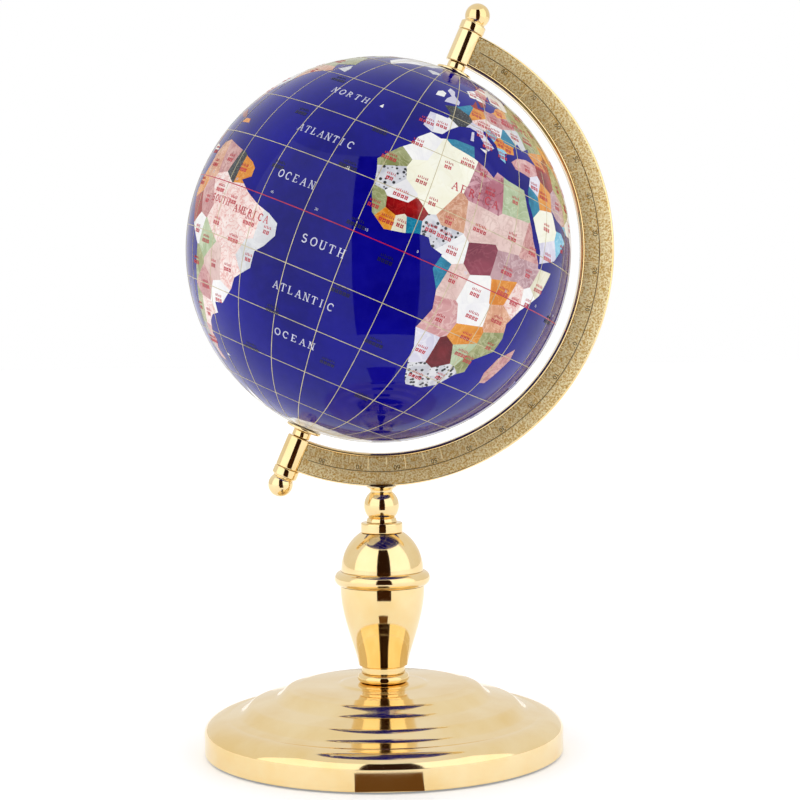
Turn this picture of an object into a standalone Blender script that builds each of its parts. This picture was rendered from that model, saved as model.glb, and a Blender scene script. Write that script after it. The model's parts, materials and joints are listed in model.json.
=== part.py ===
"""Desktop globe on a turned brass stand.

A gemstone globe turns on two pivot pins held by a C-shaped meridian arm. The arm is screwed to
a column of turned brass pieces, which a tie rod clamps to a weighted, stepped base.
World axes: +Z up, +X towards the bow of the arm. The origin is the centre of the underside.
"""

import math

import bmesh
import bpy
from mathutils import Matrix, Vector, geometry

MM = 0.001

# Fits between pieces
GAP = 0.3 * MM  # between two pieces that touch
ROD_CLEARANCE = 0.4 * MM  # round the tie rod, in every bore that it passes
PIN_CLEARANCE = 0.3 * MM  # round a pivot pin in its bush
CUTTER_REACH = 3.0 * MM  # of a cutter past what it cuts

# Facets of the turned pieces
STEPS_LARGE = 36
STEPS_MEDIUM = 24
STEPS_SMALL = 16
ROUND_POINTS = 5  # of a half-round edge
WALL_POINTS = 6  # of a curved wall
BALL_STEPS = 28  # round the globe
BALL_ARC_STEPS = 14  # from pole to pole
CORE_ARC_STEPS = 5  # from the equator to a pole
SHARP_ANGLE = math.radians(35.0)  # between faces that meet in a hard edge

# Globe
GLOBE_RADIUS = 75.0 * MM
AXIS_TILT = math.radians(23.5)
FACING_LONGITUDE = -6.5  # degrees east, on the side that faces -Y at rest
OCEAN_THICKNESS = 2.2 * MM
CORE_WALL = 2.5 * MM
SEAM_RING_HEIGHT = 12.0 * MM
SEAM_RING_WALL = 2.0 * MM
BUSH_FLANGE_RADIUS = 7.0 * MM
BUSH_FLANGE_THICKNESS = 1.0 * MM
BUSH_SLEEVE_RADIUS = 4.2 * MM
BUSH_SLEEVE_LENGTH = 9.0 * MM

# Meridian arm
ARM_AIR = 4.3 * MM  # from the globe to the arm's inner edge
ARM_WIDTH = 12.9 * MM
ARM_DEPTH = 6.5 * MM
ARM_LIP_WIDTH = 1.3 * MM
ARM_LIP_RISE = 0.3 * MM
ARM_EDGE_BEVEL = 0.4 * MM
ARM_STEPS = 36

# Barrels, pivot pins and finials, along the globe's axis
BARREL_RADIUS = 4.85 * MM
PIN_RADIUS = 2.0 * MM
PIN_REACH = 7.5 * MM  # of the pin inside the globe
PIN_SHOULDER_RADIUS = 3.6 * MM
PIN_THREAD_RADIUS = 2.5 * MM
PIN_THREAD_REACH = 5.0 * MM  # of the thread past the barrel
THREAD_CLEARANCE = 0.3 * MM
FINIAL_COLLAR_RADIUS = 5.0 * MM
FINIAL_COLLAR_HEIGHT = 2.4 * MM
FINIAL_STEP_RADIUS = 4.3 * MM
FINIAL_STEP_HEIGHT = 0.6 * MM
FINIAL_BALL_RADIUS = 4.84 * MM
FINIAL_BALL_SINK = 1.1 * MM  # of the ball into its step
POLE_EDGE_BEVEL = 0.4 * MM  # on the corners of the barrels, pins and finials

# Arm screw
SCREW_RADIUS = 1.5 * MM
SCREW_HEAD_RADIUS = 2.6 * MM
SCREW_HEAD_HEIGHT = 1.4 * MM
SCREW_REACH = 5.0 * MM  # of the thread inside the column ball
SCREW_SLOT_WIDTH = 0.7 * MM
SCREW_SLOT_DEPTH = 0.7 * MM

# Base
PAD_INSET = 3.4 * MM  # of the pad's edge inside the rim's wall
PAD_THICKNESS = 1.5 * MM
BASE_RADIUS = 70.8 * MM
BASE_HEIGHT = 27.0 * MM
BASE_WALL = 0.9 * MM
BASE_LIFT = 0.7 * MM  # of the rim above the table
RIM_TOP = 8.6 * MM  # where the rim's upright wall ends
BASE_STEP_COUNT = 2
BASE_STEP_WIDTH = 14.25 * MM
BASE_SHOULDER_WIDTH = 9.5 * MM  # of the roll from the last step to the rim's wall
BASE_WAVE = 0.8  # of a step; 0 is an even slope and 1 is level at both its ends
BASE_BOSS_RADIUS = 14.0 * MM
BASE_BOSS_RISE = 0.8 * MM
BASE_BOSS_SLOPE = 6.0 * MM
BOSS_SLOPE_POINTS = 3
STEP_POINTS = 5
SHOULDER_POINTS = 4
WEIGHT_LIFT = 0.3 * MM  # of the weight above the pad
NUT_WELL_RADIUS = 9.0 * MM
NUT_WELL_DEPTH = 7.5 * MM

# Tie rod and its hardware
ROD_RADIUS = 3.0 * MM
ROD_BALL_REACH = 3.0 * MM  # of the rod inside the column ball
NUT_FLATS = 10.0 * MM
NUT_HEIGHT = 4.0 * MM
NUT_OVERHANG = 1.0 * MM  # of the rod below the nut
WASHER_RADIUS = 7.0 * MM
WASHER_THICKNESS = 1.2 * MM

# Column, upwards
FOOT_RING_RADIUS = 10.3 * MM
FOOT_RING_HEIGHT = 3.4 * MM
URN_NECK_RADIUS = 8.7 * MM
URN_NECK_HEIGHT = 2.6 * MM
URN_FOOT_RADIUS = 9.7 * MM
URN_SHOULDER_RADIUS = 16.6 * MM
URN_HEIGHT = 34.2 * MM
URN_SWELL = 1.25  # exponent; larger leaves the foot of the vase slimmer
BEAD_RADIUS = 19.0 * MM
BEAD_HEIGHT = 5.6 * MM
CAP_RADIUS = 16.2 * MM
CAP_TOP_RADIUS = 8.7 * MM
CAP_HEIGHT = 14.6 * MM
COLLAR_RADIUS = 8.2 * MM
COLLAR_HEIGHT = 3.9 * MM
COLLAR_EDGE_BEVEL = 0.5 * MM
BALL_NECK_RADIUS = 5.9 * MM
BALL_NECK_HEIGHT = 1.4 * MM
COLUMN_BALL_RADIUS = 6.9 * MM
COLUMN_BALL_HEIGHT = 10.2 * MM
SADDLE_WAIST_RADIUS = 4.3 * MM
SADDLE_TOP_RADIUS = 5.9 * MM
SADDLE_HEIGHT = 1.7 * MM
SADDLE_BEND_OUT = 0.3  # share of its flare that the saddle has reached
SADDLE_BEND_UP = 0.6  # at this share of its height

# Levels that follow from the sizes above
FOOT_Z = BASE_HEIGHT + GAP
URN_Z = FOOT_Z + FOOT_RING_HEIGHT + GAP
BEAD_Z = URN_Z + URN_HEIGHT + GAP
CAP_Z = BEAD_Z + BEAD_HEIGHT + GAP
COLLAR_Z = CAP_Z + CAP_HEIGHT + GAP
BALL_Z = COLLAR_Z + COLLAR_HEIGHT + GAP
BALL_TOP_Z = BALL_Z + BALL_NECK_HEIGHT + COLUMN_BALL_HEIGHT
SADDLE_Z = BALL_TOP_Z + GAP
ARM_INNER_RADIUS = GLOBE_RADIUS + ARM_AIR
ARM_OUTER_RADIUS = ARM_INNER_RADIUS + ARM_WIDTH
GLOBE_Z = SADDLE_Z + SADDLE_HEIGHT + GAP + ARM_OUTER_RADIUS

# Levels along the globe's axis, from the globe's centre
FLANGE_START = GLOBE_RADIUS + GAP
FLANGE_END = FLANGE_START + BUSH_FLANGE_THICKNESS
SHOULDER_START = FLANGE_END + GAP
THREAD_START = ARM_INNER_RADIUS - GAP
FINIAL_START = ARM_OUTER_RADIUS + GAP

# Coastlines, as (longitude east, latitude north) in degrees
AFRICA = [
    (-5.9, 35.8), (-2.0, 35.1), (3.0, 36.9), (10.2, 37.3), (11.0, 33.5), (15.4, 32.2), (19.0, 30.3),
    (20.2, 32.6), (25.0, 31.6), (32.3, 31.2), (34.0, 26.5), (37.2, 20.9), (38.6, 18.0), (43.1, 12.6),
    (43.3, 11.4), (51.2, 11.9), (48.0, 4.5), (41.6, -1.7), (38.9, -6.5), (40.6, -10.8), (40.4, -15.2),
    (34.8, -19.9), (35.5, -24.0), (32.8, -26.0), (30.0, -31.2), (25.7, -34.0), (20.0, -34.8),
    (18.2, -33.0), (15.2, -27.0), (14.4, -22.8), (11.8, -17.5), (13.7, -11.0), (12.2, -5.9),
    (8.8, -0.9), (9.8, 3.5), (6.0, 4.3), (4.5, 6.3), (1.2, 6.1), (-2.0, 4.8), (-7.5, 4.4),
    (-13.2, 8.5), (-16.7, 12.4), (-17.5, 14.7), (-16.3, 18.0), (-17.0, 21.0), (-12.9, 27.9),
    (-9.8, 29.8), (-9.2, 32.4),
]
MADAGASCAR = [
    (49.3, -12.0), (50.4, -15.5), (47.5, -24.8), (45.0, -25.4), (43.3, -22.0), (44.4, -16.5),
]
SOUTH_AMERICA = [
    (-77.4, 7.6), (-75.5, 10.7), (-71.8, 12.1), (-64.0, 10.5), (-61.5, 9.8), (-57.0, 6.0),
    (-51.5, 4.4), (-50.0, 0.5), (-44.5, -2.7), (-38.5, -3.8), (-35.0, -5.6), (-35.3, -9.4),
    (-38.9, -13.3), (-39.1, -17.5), (-41.2, -22.4), (-47.5, -24.8), (-48.6, -28.3), (-53.4, -33.7),
    (-58.2, -34.4), (-57.4, -37.6), (-62.0, -39.0), (-65.0, -41.5), (-67.3, -45.7), (-65.9, -47.8),
    (-69.0, -51.0), (-66.0, -55.0), (-71.5, -54.5), (-75.3, -50.0), (-74.6, -44.5), (-73.6, -38.0),
    (-71.5, -31.0), (-70.3, -19.5), (-76.2, -14.0), (-81.2, -5.5), (-80.2, -1.5), (-77.3, 3.9),
]
NORTH_AMERICA = [
    (-78.2, 8.1), (-83.0, 8.3), (-87.6, 12.9), (-94.5, 16.2), (-101.5, 17.6), (-105.6, 21.0),
    (-112.8, 29.5), (-110.0, 23.5), (-115.0, 29.4), (-117.2, 32.7), (-122.4, 37.0), (-124.3, 41.5),
    (-123.8, 48.0), (-130.5, 54.8), (-141.0, 60.0), (-149.0, 60.0), (-163.5, 54.8), (-158.0, 58.6),
    (-165.0, 61.5), (-161.5, 64.5), (-167.5, 65.6), (-164.0, 68.3), (-156.5, 71.2), (-141.0, 69.6),
    (-126.0, 71.5), (-120.0, 76.0), (-95.0, 80.5), (-70.0, 82.6), (-79.0, 74.5), (-67.0, 69.0),
    (-65.0, 62.8), (-78.0, 64.2), (-86.5, 66.0), (-94.0, 60.0), (-92.5, 57.0), (-82.0, 55.2),
    (-79.5, 51.5), (-78.0, 62.0), (-69.5, 59.5), (-64.5, 60.0), (-56.0, 52.3), (-66.0, 50.1),
    (-60.5, 46.0), (-66.5, 44.5), (-70.4, 43.0), (-75.5, 37.5), (-81.2, 31.2), (-80.4, 25.4),
    (-84.5, 30.0), (-94.5, 29.4), (-97.6, 25.0), (-95.2, 18.6), (-90.6, 19.4), (-86.9, 21.3),
    (-88.6, 16.1), (-83.6, 15.2), (-83.2, 10.2), (-79.0, 9.4),
]
GREENLAND = [
    (-72.0, 78.0), (-58.0, 75.6), (-54.0, 69.8), (-50.0, 62.5), (-44.0, 60.0), (-40.5, 64.5),
    (-24.0, 69.5), (-19.0, 76.0), (-20.0, 80.5), (-34.0, 83.0), (-58.0, 81.8),
]
EUROPE = [
    (-5.6, 36.1), (-2.0, 36.8), (0.0, 39.5), (3.2, 42.3), (7.5, 43.7), (12.3, 41.8), (15.8, 38.1),
    (18.4, 40.1), (13.6, 43.6), (13.2, 45.5), (19.3, 41.9), (21.3, 37.6), (23.6, 36.9), (23.4, 40.3),
    (28.2, 41.4), (28.2, 43.6), (31.5, 46.6), (33.7, 44.6), (38.8, 47.0), (37.8, 44.6), (41.6, 41.8),
    (49.3, 41.6), (47.2, 44.8), (51.5, 47.0), (50.5, 51.4), (59.0, 50.9), (60.5, 56.0), (59.5, 63.0),
    (66.5, 68.2), (46.0, 67.8), (42.0, 66.4), (36.0, 64.2), (40.5, 66.6), (28.5, 71.0), (19.5, 69.9),
    (11.0, 64.2), (5.0, 61.5), (7.0, 58.0), (10.8, 59.0), (13.0, 55.5), (16.2, 56.6), (17.4, 61.0),
    (22.5, 65.6), (21.6, 61.2), (28.5, 60.3), (23.6, 58.9), (21.0, 56.0), (18.5, 54.7), (11.0, 54.2),
    (10.2, 57.5), (8.4, 54.6), (4.6, 52.6), (1.6, 50.6), (-4.7, 48.4), (-1.4, 45.8), (-1.8, 43.5),
    (-9.0, 43.2), (-9.3, 37.4),
]
ASIA = [
    (29.8, 40.8), (26.5, 38.5), (28.5, 36.7), (36.0, 36.4), (34.3, 31.3), (34.9, 28.1), (39.2, 21.3),
    (42.8, 16.3), (43.6, 12.8), (52.0, 15.7), (59.8, 22.5), (56.0, 24.6), (51.4, 24.4), (48.2, 29.9),
    (52.0, 27.8), (57.0, 26.9), (61.6, 25.1), (66.6, 25.2), (72.6, 21.0), (74.5, 13.5), (77.5, 8.1),
    (80.2, 14.0),
    (86.8, 20.8), (91.8, 22.3), (94.3, 16.2), (97.6, 16.3), (98.4, 9.5), (103.5, 1.5), (103.0, 6.0),
    (99.6, 10.5), (100.6, 13.4), (105.0, 8.8), (109.2, 12.5), (106.2, 19.0), (110.5, 21.3),
    (118.5, 24.5), (121.8, 30.0), (119.5, 35.0), (122.3, 37.0), (118.0, 38.8), (123.5, 40.0),
    (126.4, 34.6), (129.4, 36.6), (128.8, 41.0), (135.5, 44.2), (140.6, 50.0), (136.5, 54.4),
    (143.0, 59.2), (155.0, 59.3), (156.7, 51.2), (163.0, 58.0), (179.0, 62.8), (189.0, 66.0),
    (175.0, 69.6), (150.0, 71.6), (130.0, 71.4), (105.0, 77.4), (80.0, 72.8), (66.5, 68.2),
    (59.5, 63.0), (60.5, 56.0), (59.0, 50.9), (50.5, 51.4), (51.5, 47.0), (47.2, 44.8), (49.3, 41.6),
    (41.6, 41.8), (35.0, 42.0),
]
AUSTRALIA = [
    (114.0, -22.0), (115.7, -32.0), (118.0, -35.0), (124.0, -33.8), (131.0, -31.5), (137.8, -34.0),
    (140.0, -37.8), (146.5, -39.0), (150.0, -37.3), (153.2, -30.0), (152.8, -25.5), (146.0, -19.0),
    (142.5, -10.8), (140.8, -17.4), (135.8, -15.0), (136.6, -12.2), (131.5, -11.6), (129.0, -14.8),
    (122.3, -18.0),
]
ANTARCTICA = [
    (0.0, -70.0), (20.0, -70.0), (40.0, -69.0), (55.0, -66.5), (75.0, -69.5), (95.0, -66.5),
    (115.0, -66.7), (135.0, -66.3), (152.0, -68.8), (168.0, -72.0), (172.0, -78.0), (202.0, -78.4),
    (230.0, -74.8), (255.0, -73.2), (285.0, -72.0), (297.0, -64.6), (300.0, -70.0), (302.0, -76.5),
    (322.0, -78.0), (340.0, -73.0),
]
GREAT_BRITAIN = [
    (-5.4, 50.1), (1.2, 51.1), (1.5, 52.9), (-1.6, 55.0), (-2.0, 57.5), (-4.8, 58.5), (-5.8, 56.4),
    (-3.0, 54.2), (-4.8, 52.2),
]
JAPAN = [
    (130.4, 31.4), (135.8, 33.6), (140.8, 35.5), (142.0, 39.6), (145.2, 43.3), (141.8, 45.4),
    (139.9, 41.6), (138.2, 37.6), (132.5, 35.5), (129.8, 33.2),
]
BORNEO = [(109.0, 1.5), (110.5, -3.0), (116.0, -3.8), (118.8, 1.0), (119.0, 5.2), (116.8, 6.9)]
NEW_GUINEA = [
    (131.0, -1.0), (134.0, -4.0), (138.5, -8.3), (144.0, -7.8), (150.5, -10.5), (145.0, -4.3),
    (138.0, -1.6),
]
STONES = {
    "africa_stone": (AFRICA, "ivory_stone"),
    "madagascar_stone": (MADAGASCAR, "rose_stone"),
    "south_america_stone": (SOUTH_AMERICA, "pink_marble"),
    "north_america_stone": (NORTH_AMERICA, "olive_stone"),
    "greenland_stone": (GREENLAND, "pearl_stone"),
    "europe_stone": (EUROPE, "ivory_stone"),
    "asia_stone": (ASIA, "orange_stone"),
    "australia_stone": (AUSTRALIA, "red_stone"),
    "antarctica_stone": (ANTARCTICA, "pearl_stone"),
    "great_britain_stone": (GREAT_BRITAIN, "pearl_stone"),
    "japan_stone": (JAPAN, "rose_stone"),
    "borneo_stone": (BORNEO, "olive_stone"),
    "new_guinea_stone": (NEW_GUINEA, "pink_marble"),
}
CONE_NEAR = 0.4  # ends of the radial cutters, as shares of the globe's radius
CONE_FAR = 4.0
MITRE_LIMIT = 2.0
WELD = 1e-7

# Colour, metallic and roughness of each material
MATERIALS = {
    "polished_gold": ((0.88, 0.62, 0.22), 1.0, 0.08),
    "sanded_gold": ((0.72, 0.53, 0.24), 1.0, 0.45),
    "steel": ((0.60, 0.60, 0.60), 1.0, 0.35),
    "cast_iron": ((0.08, 0.08, 0.08), 0.6, 0.60),
    "green_felt": ((0.02, 0.08, 0.04), 0.0, 0.95),
    "core_plastic": ((0.80, 0.78, 0.72), 0.0, 0.50),
    "ocean_resin": ((0.03, 0.04, 0.45), 0.0, 0.05),
    "ivory_stone": ((0.85, 0.82, 0.72), 0.0, 0.10),
    "rose_stone": ((0.70, 0.42, 0.42), 0.0, 0.10),
    "pink_marble": ((0.80, 0.60, 0.55), 0.0, 0.10),
    "olive_stone": ((0.45, 0.47, 0.22), 0.0, 0.10),
    "pearl_stone": ((0.78, 0.78, 0.80), 0.0, 0.10),
    "orange_stone": ((0.78, 0.38, 0.14), 0.0, 0.10),
    "red_stone": ((0.35, 0.05, 0.06), 0.0, 0.10),
}


def clear_scene():
    for old in list(bpy.data.objects):
        bpy.data.objects.remove(old, do_unlink=True)


def make_materials():
    for name, (colour, metallic, roughness) in MATERIALS.items():
        material = bpy.data.materials.new(name)
        material.use_nodes = True
        shader = material.node_tree.nodes["Principled BSDF"]
        shader.inputs["Base Color"].default_value = (*colour, 1.0)
        shader.inputs["Metallic"].default_value = metallic
        shader.inputs["Roughness"].default_value = roughness


def add_empty(name, matrix):
    empty = bpy.data.objects.new(name, None)
    empty.matrix_world = matrix
    bpy.context.scene.collection.objects.link(empty)
    return empty


def add_object(name, mesh, material, parent, turn_over=False):
    """Link a finished bmesh as an object; turn_over points its +Z to its parent's -Z."""
    bmesh.ops.recalc_face_normals(mesh, faces=mesh.faces)
    data = bpy.data.meshes.new(name)
    mesh.to_mesh(data)
    mesh.free()
    data.shade_smooth()
    data.set_sharp_from_angle(angle=SHARP_ANGLE)
    if material:
        data.materials.append(bpy.data.materials[material])
    piece = bpy.data.objects.new(name, data)
    piece.parent = parent
    if turn_over:
        piece.rotation_euler = (0.0, math.pi, 0.0)
    bpy.context.scene.collection.objects.link(piece)
    return piece


def turned_mesh(outline, steps):
    """Spin a (radius, height) outline about Z. An outline that leaves the axis is a closed loop."""
    mesh = bmesh.new()
    points = [mesh.verts.new((radius, 0.0, height)) for radius, height in outline]
    pairs = list(zip(points, points[1:]))
    if outline[0][0] > 0.0:
        pairs.append((points[-1], points[0]))
    edges = [mesh.edges.new(pair) for pair in pairs]
    bmesh.ops.spin(
        mesh,
        geom=points + edges,
        axis=(0.0, 0.0, 1.0),
        cent=(0.0, 0.0, 0.0),
        steps=steps,
        angle=2.0 * math.pi,
        use_merge=True,
    )
    bmesh.ops.remove_doubles(mesh, verts=mesh.verts, dist=WELD)
    bmesh.ops.dissolve_degenerate(mesh, edges=mesh.edges, dist=WELD)
    return mesh


def turn(name, outline, material, parent, steps=STEPS_MEDIUM, turn_over=False):
    return add_object(name, turned_mesh(outline, steps), material, parent, turn_over)


def cut(piece, cutter, operation="DIFFERENCE"):
    """Cut a piece with a hidden cutter, which keeps its own place."""
    cutter.hide_render = True
    cutter.display_type = "WIRE"
    modifier = piece.modifiers.new(cutter.name, "BOOLEAN")
    modifier.operation = operation
    modifier.object = cutter
    modifier.solver = "EXACT"


def arc(radius, start, end, count, centre=(0.0, 0.0)):
    """Points on a circle about centre, between two angles measured from the radius axis."""
    angles = [start + (end - start) * step / count for step in range(count + 1)]
    return [
        (centre[0] + radius * math.cos(angle), centre[1] + radius * math.sin(angle))
        for angle in angles
    ]


def offset_outline(points, distance):
    """Move an open outline sideways, to the right of its direction of travel."""
    moved = []
    for index, (radius, height) in enumerate(points):
        before = points[max(index - 1, 0)]
        after = points[min(index + 1, len(points) - 1)]
        along = Vector((after[0] - before[0], after[1] - before[1])).normalized()
        moved.append((max(radius + along.y * distance, 0.0), height - along.x * distance))
    return moved


# Base


def base_profile():
    """The dome's outer face, from its middle out and down.

    Past a low boss it falls in even steps, each a wave, and then in a quarter of an ellipse that rolls
    into the rim's upright wall.
    """
    radius = BASE_RADIUS - BASE_SHOULDER_WIDTH - BASE_STEP_COUNT * BASE_STEP_WIDTH
    height = BASE_HEIGHT - BASE_BOSS_RISE
    fall = (height - RIM_TOP) / (BASE_STEP_COUNT + 1)
    points = [(BASE_BOSS_RADIUS, BASE_HEIGHT)]
    points += wave(BASE_BOSS_RADIUS, BASE_HEIGHT, BASE_BOSS_SLOPE, BASE_BOSS_RISE, BOSS_SLOPE_POINTS)
    points.append((radius, height))
    for step in range(BASE_STEP_COUNT):
        points += wave(radius, height, BASE_STEP_WIDTH, fall, STEP_POINTS)
        radius += BASE_STEP_WIDTH
        height -= fall
    points += [
        (radius + BASE_SHOULDER_WIDTH * math.sin(angle), RIM_TOP + fall * math.cos(angle))
        for angle in (math.pi / 2 * step / SHOULDER_POINTS for step in range(1, SHOULDER_POINTS + 1))
    ]
    points.append((BASE_RADIUS, BASE_LIFT))
    return points


def wave(radius, height, width, fall, count):
    """A fall that is gentle at both ends and steepest half way, without its first point.

    A share s of the way out, it has fallen by s - BASE_WAVE sin(2 pi s) / (2 pi) of the whole.
    """
    points = []
    for step in range(1, count + 1):
        share = step / count
        fallen = share - BASE_WAVE * math.sin(2.0 * math.pi * share) / (2.0 * math.pi)
        points.append((radius + width * share, height - fall * fallen))
    return points


def make_base(parent):
    bore = ROD_RADIUS + ROD_CLEARANCE
    outer = [(bore, BASE_HEIGHT)] + base_profile()
    inner = offset_outline(outer, BASE_WALL)
    inner[-1] = (BASE_RADIUS - BASE_WALL, BASE_LIFT)
    inner[0] = (bore, BASE_HEIGHT - BASE_WALL)
    turn("base_shell", outer + inner[::-1], "polished_gold", parent, STEPS_LARGE)

    pad_radius = BASE_RADIUS - BASE_WALL - PAD_INSET
    pad = column_outline(pad_radius, 0.0, PAD_THICKNESS)
    turn("felt_pad", pad, "green_felt", parent, STEPS_LARGE)

    floor = PAD_THICKNESS + WEIGHT_LIFT
    well_top = floor + NUT_WELL_DEPTH
    top = offset_outline(outer, BASE_WALL + 2 * GAP)
    top[0] = (bore, BASE_HEIGHT - BASE_WALL - GAP)
    top = top[:-1]
    weight = top + [
        (top[-1][0], floor),
        (NUT_WELL_RADIUS, floor),
        (NUT_WELL_RADIUS, well_top),
        (bore, well_top),
    ]
    turn("base_weight", weight, "cast_iron", parent, STEPS_MEDIUM)

    washer_z = well_top - GAP - WASHER_THICKNESS
    washer = ring(bore, WASHER_RADIUS, washer_z, washer_z + WASHER_THICKNESS)
    turn("rod_washer", washer, "steel", parent, STEPS_SMALL)
    nut_z = washer_z - GAP - NUT_HEIGHT
    nut_radius = NUT_FLATS / math.sqrt(3.0)
    hexagon = turned_mesh(column_outline(nut_radius, nut_z, nut_z + NUT_HEIGHT), 6)
    nut = add_object("rod_nut", hexagon, "steel", parent)
    rod_foot = nut_z - NUT_OVERHANG
    nut_bore = column_outline(bore, rod_foot, washer_z)
    cut(nut, turn("nut_bore_cutter", nut_bore, None, parent, STEPS_SMALL))
    return rod_foot


def column_outline(radius, low, high):
    return [(0.0, low), (radius, low), (radius, high), (0.0, high)]


def ring(inner, outer, low, high):
    return [(inner, low), (outer, low), (outer, high), (inner, high)]


def rounded_ring(inner, outer, low, height):
    """A ring whose outer edge is half round."""
    edge = height / 2.0
    side = arc(edge, -math.pi / 2, math.pi / 2, ROUND_POINTS, (outer - edge, low + edge))
    return [(inner, low)] + side + [(inner, low + height)]


# Column


def make_column(parent, rod_foot):
    bore = ROD_RADIUS + ROD_CLEARANCE
    foot = rounded_ring(bore, FOOT_RING_RADIUS, FOOT_Z, FOOT_RING_HEIGHT)
    turn("foot_ring", foot, "polished_gold", parent)

    turn("urn_body", urn_outline(bore), "polished_gold", parent)

    bead = rounded_ring(bore, BEAD_RADIUS, BEAD_Z, BEAD_HEIGHT)
    turn("bead_ring", bead, "polished_gold", parent)

    turn("urn_cap", cap_outline(bore), "polished_gold", parent)

    edge = COLLAR_EDGE_BEVEL
    collar = [
        (bore, COLLAR_Z),
        (COLLAR_RADIUS - edge, COLLAR_Z),
        (COLLAR_RADIUS, COLLAR_Z + edge),
        (COLLAR_RADIUS, COLLAR_Z + COLLAR_HEIGHT - edge),
        (COLLAR_RADIUS - edge, COLLAR_Z + COLLAR_HEIGHT),
        (bore, COLLAR_Z + COLLAR_HEIGHT),
    ]
    turn("column_collar", collar, "polished_gold", parent, STEPS_SMALL)

    rod_top = BALL_Z + ROD_BALL_REACH
    turn("tie_rod", column_outline(ROD_RADIUS, rod_foot, rod_top), "steel", parent, STEPS_SMALL)

    make_column_ball(parent, bore, rod_top + ROD_CLEARANCE)
    hole = SCREW_RADIUS + THREAD_CLEARANCE
    flare = SADDLE_TOP_RADIUS - SADDLE_WAIST_RADIUS
    saddle = [
        (hole, SADDLE_Z),
        (SADDLE_WAIST_RADIUS, SADDLE_Z),
        (SADDLE_WAIST_RADIUS + SADDLE_BEND_OUT * flare, SADDLE_Z + SADDLE_BEND_UP * SADDLE_HEIGHT),
        (SADDLE_TOP_RADIUS, SADDLE_Z + SADDLE_HEIGHT),
        (hole, SADDLE_Z + SADDLE_HEIGHT),
    ]
    turn("arm_saddle", saddle, "polished_gold", parent, STEPS_SMALL)


def urn_outline(bore):
    """A vase: a straight neck, then a wall that swells along a quarter of a sine to the shoulder."""
    low = URN_Z + URN_NECK_HEIGHT
    high = URN_Z + URN_HEIGHT
    count = WALL_POINTS
    wall = []
    for step in range(count + 1):
        share = step / count
        swell = math.sin(share * math.pi / 2) ** URN_SWELL
        radius = URN_FOOT_RADIUS + (URN_SHOULDER_RADIUS - URN_FOOT_RADIUS) * swell
        wall.append((radius, low + share * (high - low)))
    return [(bore, URN_Z), (URN_NECK_RADIUS, URN_Z), (URN_NECK_RADIUS, low)] + wall + [(bore, high)]


def cap_outline(bore):
    """A dome, a quarter of an ellipse that ends on a flat top."""
    full_height = CAP_HEIGHT / math.sqrt(1.0 - (CAP_TOP_RADIUS / CAP_RADIUS) ** 2)
    end = math.asin(CAP_HEIGHT / full_height)
    count = WALL_POINTS
    wall = [
        (CAP_RADIUS * math.cos(end * step / count), CAP_Z + full_height * math.sin(end * step / count))
        for step in range(count + 1)
    ]
    return [(bore, CAP_Z)] + wall + [(bore, CAP_Z + CAP_HEIGHT)]


def make_column_ball(parent, bore, bore_top):
    """A ball on a short neck, bored from below for the tie rod and from above for the screw."""
    centre = BALL_TOP_Z - math.sqrt(COLUMN_BALL_RADIUS**2 - SADDLE_WAIST_RADIUS**2)
    neck_top = BALL_Z + BALL_NECK_HEIGHT
    start = math.asin(max((neck_top - centre) / COLUMN_BALL_RADIUS, -1.0))
    end = math.asin((BALL_TOP_Z - centre) / COLUMN_BALL_RADIUS)
    hole = SCREW_RADIUS + THREAD_CLEARANCE
    outline = [(bore, BALL_Z), (BALL_NECK_RADIUS, BALL_Z), (BALL_NECK_RADIUS, neck_top)]
    outline += arc(COLUMN_BALL_RADIUS, start, end, WALL_POINTS, (0.0, centre))
    outline += [(hole, BALL_TOP_Z), (hole, bore_top), (bore, bore_top)]
    turn("column_ball", outline, "polished_gold", parent, STEPS_SMALL)


# Meridian arm


def arm_section():
    """The arm's section as (radius, depth), with a raised lip along the inner edge of each face."""
    half = ARM_DEPTH / 2.0
    face = half - ARM_LIP_RISE
    lip = ARM_INNER_RADIUS + ARM_LIP_WIDTH
    front = [
        (ARM_INNER_RADIUS, half),
        (lip, half),
        (lip, face),
        (ARM_OUTER_RADIUS - ARM_EDGE_BEVEL, face),
        (ARM_OUTER_RADIUS, face - ARM_EDGE_BEVEL),
    ]
    return front + [(radius, -depth) for radius, depth in reversed(front)]


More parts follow.
